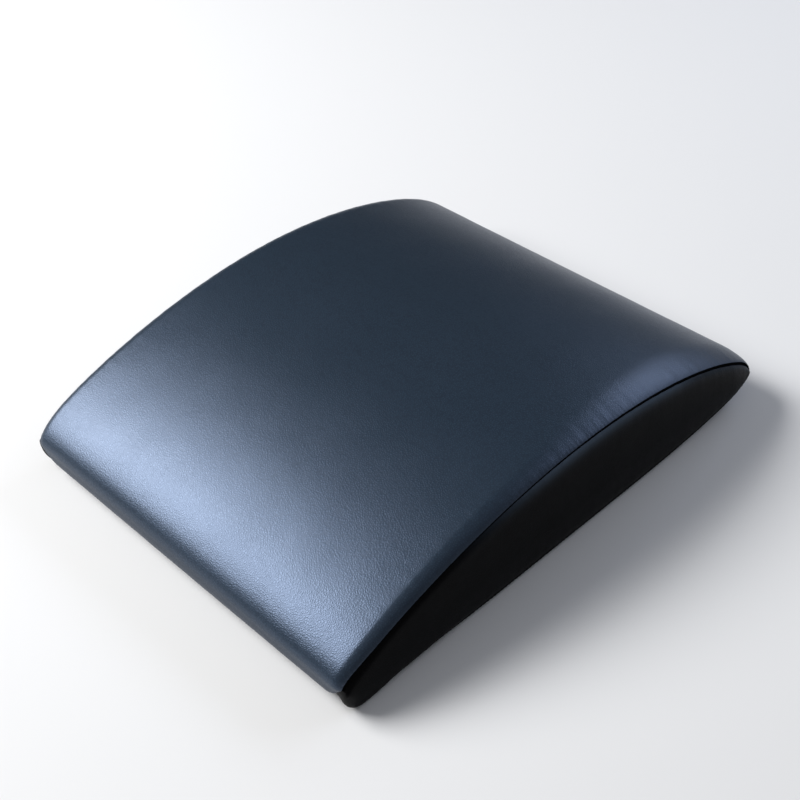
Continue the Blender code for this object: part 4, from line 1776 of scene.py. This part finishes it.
@dataclass
class ZipHardware:
    """The zip's rigid pieces, which keep their solids: rounded edges and a finish are all they need."""

    edge_radius: float = 0.12 * MM
    slider_radius: float = 0.22 * MM
    bevel_steps: int = 3
    sharpest_degrees: float = 40.0

    def dress(self, node: str, finish: Material, radius: float) -> None:
        """Rounds a CAD piece's edges and gives it its finish.

        Args:
            node: The CAD node.
            finish: Its material.
            radius: Radius of its edges.
        """
        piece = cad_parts[node]
        piece.data.materials.clear()
        piece.data.materials.append(finish)
        bevel = piece.modifiers.new("rounded_edges", "BEVEL")
        bevel.width = radius
        bevel.segments = self.bevel_steps
        bevel.limit_method = "ANGLE"
        bevel.angle_limit = math.radians(self.sharpest_degrees)
        bevel.harden_normals = False
        LOG.info("%s: dressed, keeps its solid", node)

    def build(self, finishes: Finishes) -> None:
        """Dresses every rigid piece of the zip.

        Args:
            finishes: The mat's finishes.
        """
        groups = (
            (("teeth_front", "teeth_rear"), finishes.teeth, "zip_teeth", self.edge_radius),
            (("top_stop_front", "top_stop_rear"), finishes.metal, "zip_metal", self.edge_radius),
            (("bottom_stop",), finishes.metal, "zip_metal", self.edge_radius),
            (("slider", "pull"), finishes.metal, "zip_metal", self.slider_radius),
        )
        for nodes, finish, slot, radius in groups:
            for node in nodes:
                self.dress(f"zip_{node}", finish, radius)


# Studio


def direction(azimuth: float, elevation: float) -> Vector:
    """The way from the mat to a place seen at an azimuth and an elevation, in degrees from the front."""
    turn, rise = math.radians(azimuth), math.radians(elevation)
    return Vector((math.sin(turn) * math.cos(rise), -math.cos(turn) * math.cos(rise), math.sin(rise)))


@dataclass(frozen=True)
class SoftBox:
    """A soft light that hangs on a sphere round the mat and faces it."""

    name: str
    azimuth: float
    elevation: float
    distance: float
    width: float
    height: float
    radiance: float
    colour: str = "#ffffff"
    watts_per_radiance: float = 4.0

    def build(self, target: Vector) -> None:
        """Hangs the light.

        Args:
            target: The point that it faces.
        """
        lamp = bpy.data.lights.new(self.name, "AREA")
        lamp.shape = "RECTANGLE"
        lamp.size = self.width
        lamp.size_y = self.height
        lamp.energy = self.watts_per_radiance * self.radiance * self.width * self.height
        lamp.color = srgb(self.colour)[:3]
        light = bpy.data.objects.new(self.name, lamp)
        way = direction(self.azimuth, self.elevation)
        light.location = target + way * self.distance
        light.rotation_euler = (-way).to_track_quat("-Z", "Y").to_euler()
        light.visible_camera = False
        bpy.context.scene.collection.objects.link(light)


@dataclass(frozen=True)
class PhotoCamera:
    """The camera that was fitted to the photograph's outline. Its place is in mat lengths."""

    azimuth: float = 47.703
    elevation: float = 39.887
    roll: float = -3.128
    focal_pixels: float = 1349.06
    distance: float = 2.3729
    aside: float = 0.0019
    above: float = -0.0116
    target_height: float = 0.05
    picture_pixels: float = 800.0
    sensor_mm: float = 36.0
    nearest: float = 0.01

    def build(self, mat_length: float) -> None:
        """Sets up the scene's camera.

        Args:
            mat_length: The mat's length.
        """
        turn, roll = math.radians(self.azimuth), math.radians(self.roll)
        back = direction(self.azimuth, self.elevation)
        level = Vector((math.cos(turn), math.sin(turn), 0.0))
        upright = back.cross(level)
        right = level * math.cos(roll) + upright * math.sin(roll)
        up = upright * math.cos(roll) - level * math.sin(roll)
        target = Vector((0.0, 0.0, self.target_height))
        place = (target + back * self.distance - right * self.aside - up * self.above) * mat_length
        camera = bpy.data.objects.new("camera", bpy.data.cameras.new("camera"))
        camera.data.sensor_width = self.sensor_mm
        camera.data.lens = self.focal_pixels / self.picture_pixels * self.sensor_mm
        camera.data.clip_start = self.nearest
        camera.matrix_world = Matrix.Translation(place) @ Matrix((right, up, back)).transposed().to_4x4()
        bpy.context.scene.collection.objects.link(camera)
        bpy.context.scene.camera = camera


@dataclass
class Studio:
    """A pale floor that curves up into a low backdrop, a dim room and soft lights."""

    floor_radius: float = 2.2
    wall_height: float = 1.3
    curve_radius: float = 0.5
    rings: int = 14
    spokes: int = 96
    hub_radius: float = 0.001
    room: float = 0.165
    target_height: float = 0.03
    paper: StudioPaper = StudioPaper()
    lights: tuple[SoftBox, ...] = (
        SoftBox("key", -54.0, 40.0, 2.2, 1.36, 1.16, 11.0),
        SoftBox("rear_strip", 166.0, 32.0, 1.8, 1.7, 0.45, 3.2, "#dfe9ff"),
        SoftBox("camera_fill", 48.0, 58.0, 2.0, 1.5, 1.5, 0.2),
    )

    def build_floor(self) -> None:
        """Builds the floor and backdrop as one turned sheet."""
        turn = np.linspace(0.0, math.pi / 2, self.rings)
        radius = np.concatenate(
            [
                [self.hub_radius, self.floor_radius / 2],
                self.floor_radius + self.curve_radius * np.sin(turn),
                [self.floor_radius + self.curve_radius],
            ]
        )
        height = np.concatenate([[0.0, 0.0], self.curve_radius * (1.0 - np.cos(turn)), [self.wall_height]])
        spin = np.linspace(0.0, 2.0 * math.pi, self.spokes + 1)
        across = radius[:, None]
        grid = np.broadcast_arrays(across * np.cos(spin), across * np.sin(spin), height[:, None])
        points = np.stack(grid, axis=-1)
        floor = mesh_piece("studio_floor", grid_mesh("studio_floor", points), self.paper.build())

    def build_room(self) -> None:
        """Lights the room evenly and dimly."""
        world = bpy.data.worlds.new("studio_room")
        world.use_nodes = True
        light = world.node_tree.nodes["Background"]
        set_inputs(light, {"Color": (1.0, 1.0, 1.0, 1.0), "Strength": self.room})
        bpy.context.scene.world = world

    def build(self) -> None:
        """Builds the floor, the room and the lights, which face a point inside the mat."""
        self.build_floor()
        self.build_room()
        for light in self.lights:
            light.build(Vector((0.0, 0.0, self.target_height)))
        bpy.context.scene.view_settings.view_transform = "Standard"


def main() -> None:
    """Builds the mat's pieces in order, then the studio and the camera."""
    logging.basicConfig(level=logging.INFO, format="%(name)s: %(message)s")
    shape = MatShape()
    ruler = SeamRuler(shape)
    finishes = Finishes.build(shape)
    panels = WrappedPanels(shape, ruler, SeamPull())
    panels.build_top(finishes, Stuffing())
    panels.build_base(finishes.base)
    sides = SidePanels(shape, ruler, SeamPull(dimple=0.26 * MM))
    threads = SeamThreads(shape, ruler)
    for side in Side:
        sides.build(side, finishes, Stuffing(coarse_rows=90, coarse_columns=12, most=0.6 * MM))
        threads.build_side(side, finishes.thread)
    threads.build_front(finishes.thread)
    FoamBlock(shape).build(finishes.foam)
    tapes = ZipTapes(shape)
    for name, side in (("front", -1), ("rear", 1)):
        tapes.build_tape(f"zip_tape_{name}", side, finishes.tape)
        tapes.build_stitches(f"zip_topstitches_{name}", side, finishes.thread)
    ZipHardware().build(finishes)
    PhotoCamera().build(shape.length)
    Studio().build()


if __name__ == "__main__":
    main()
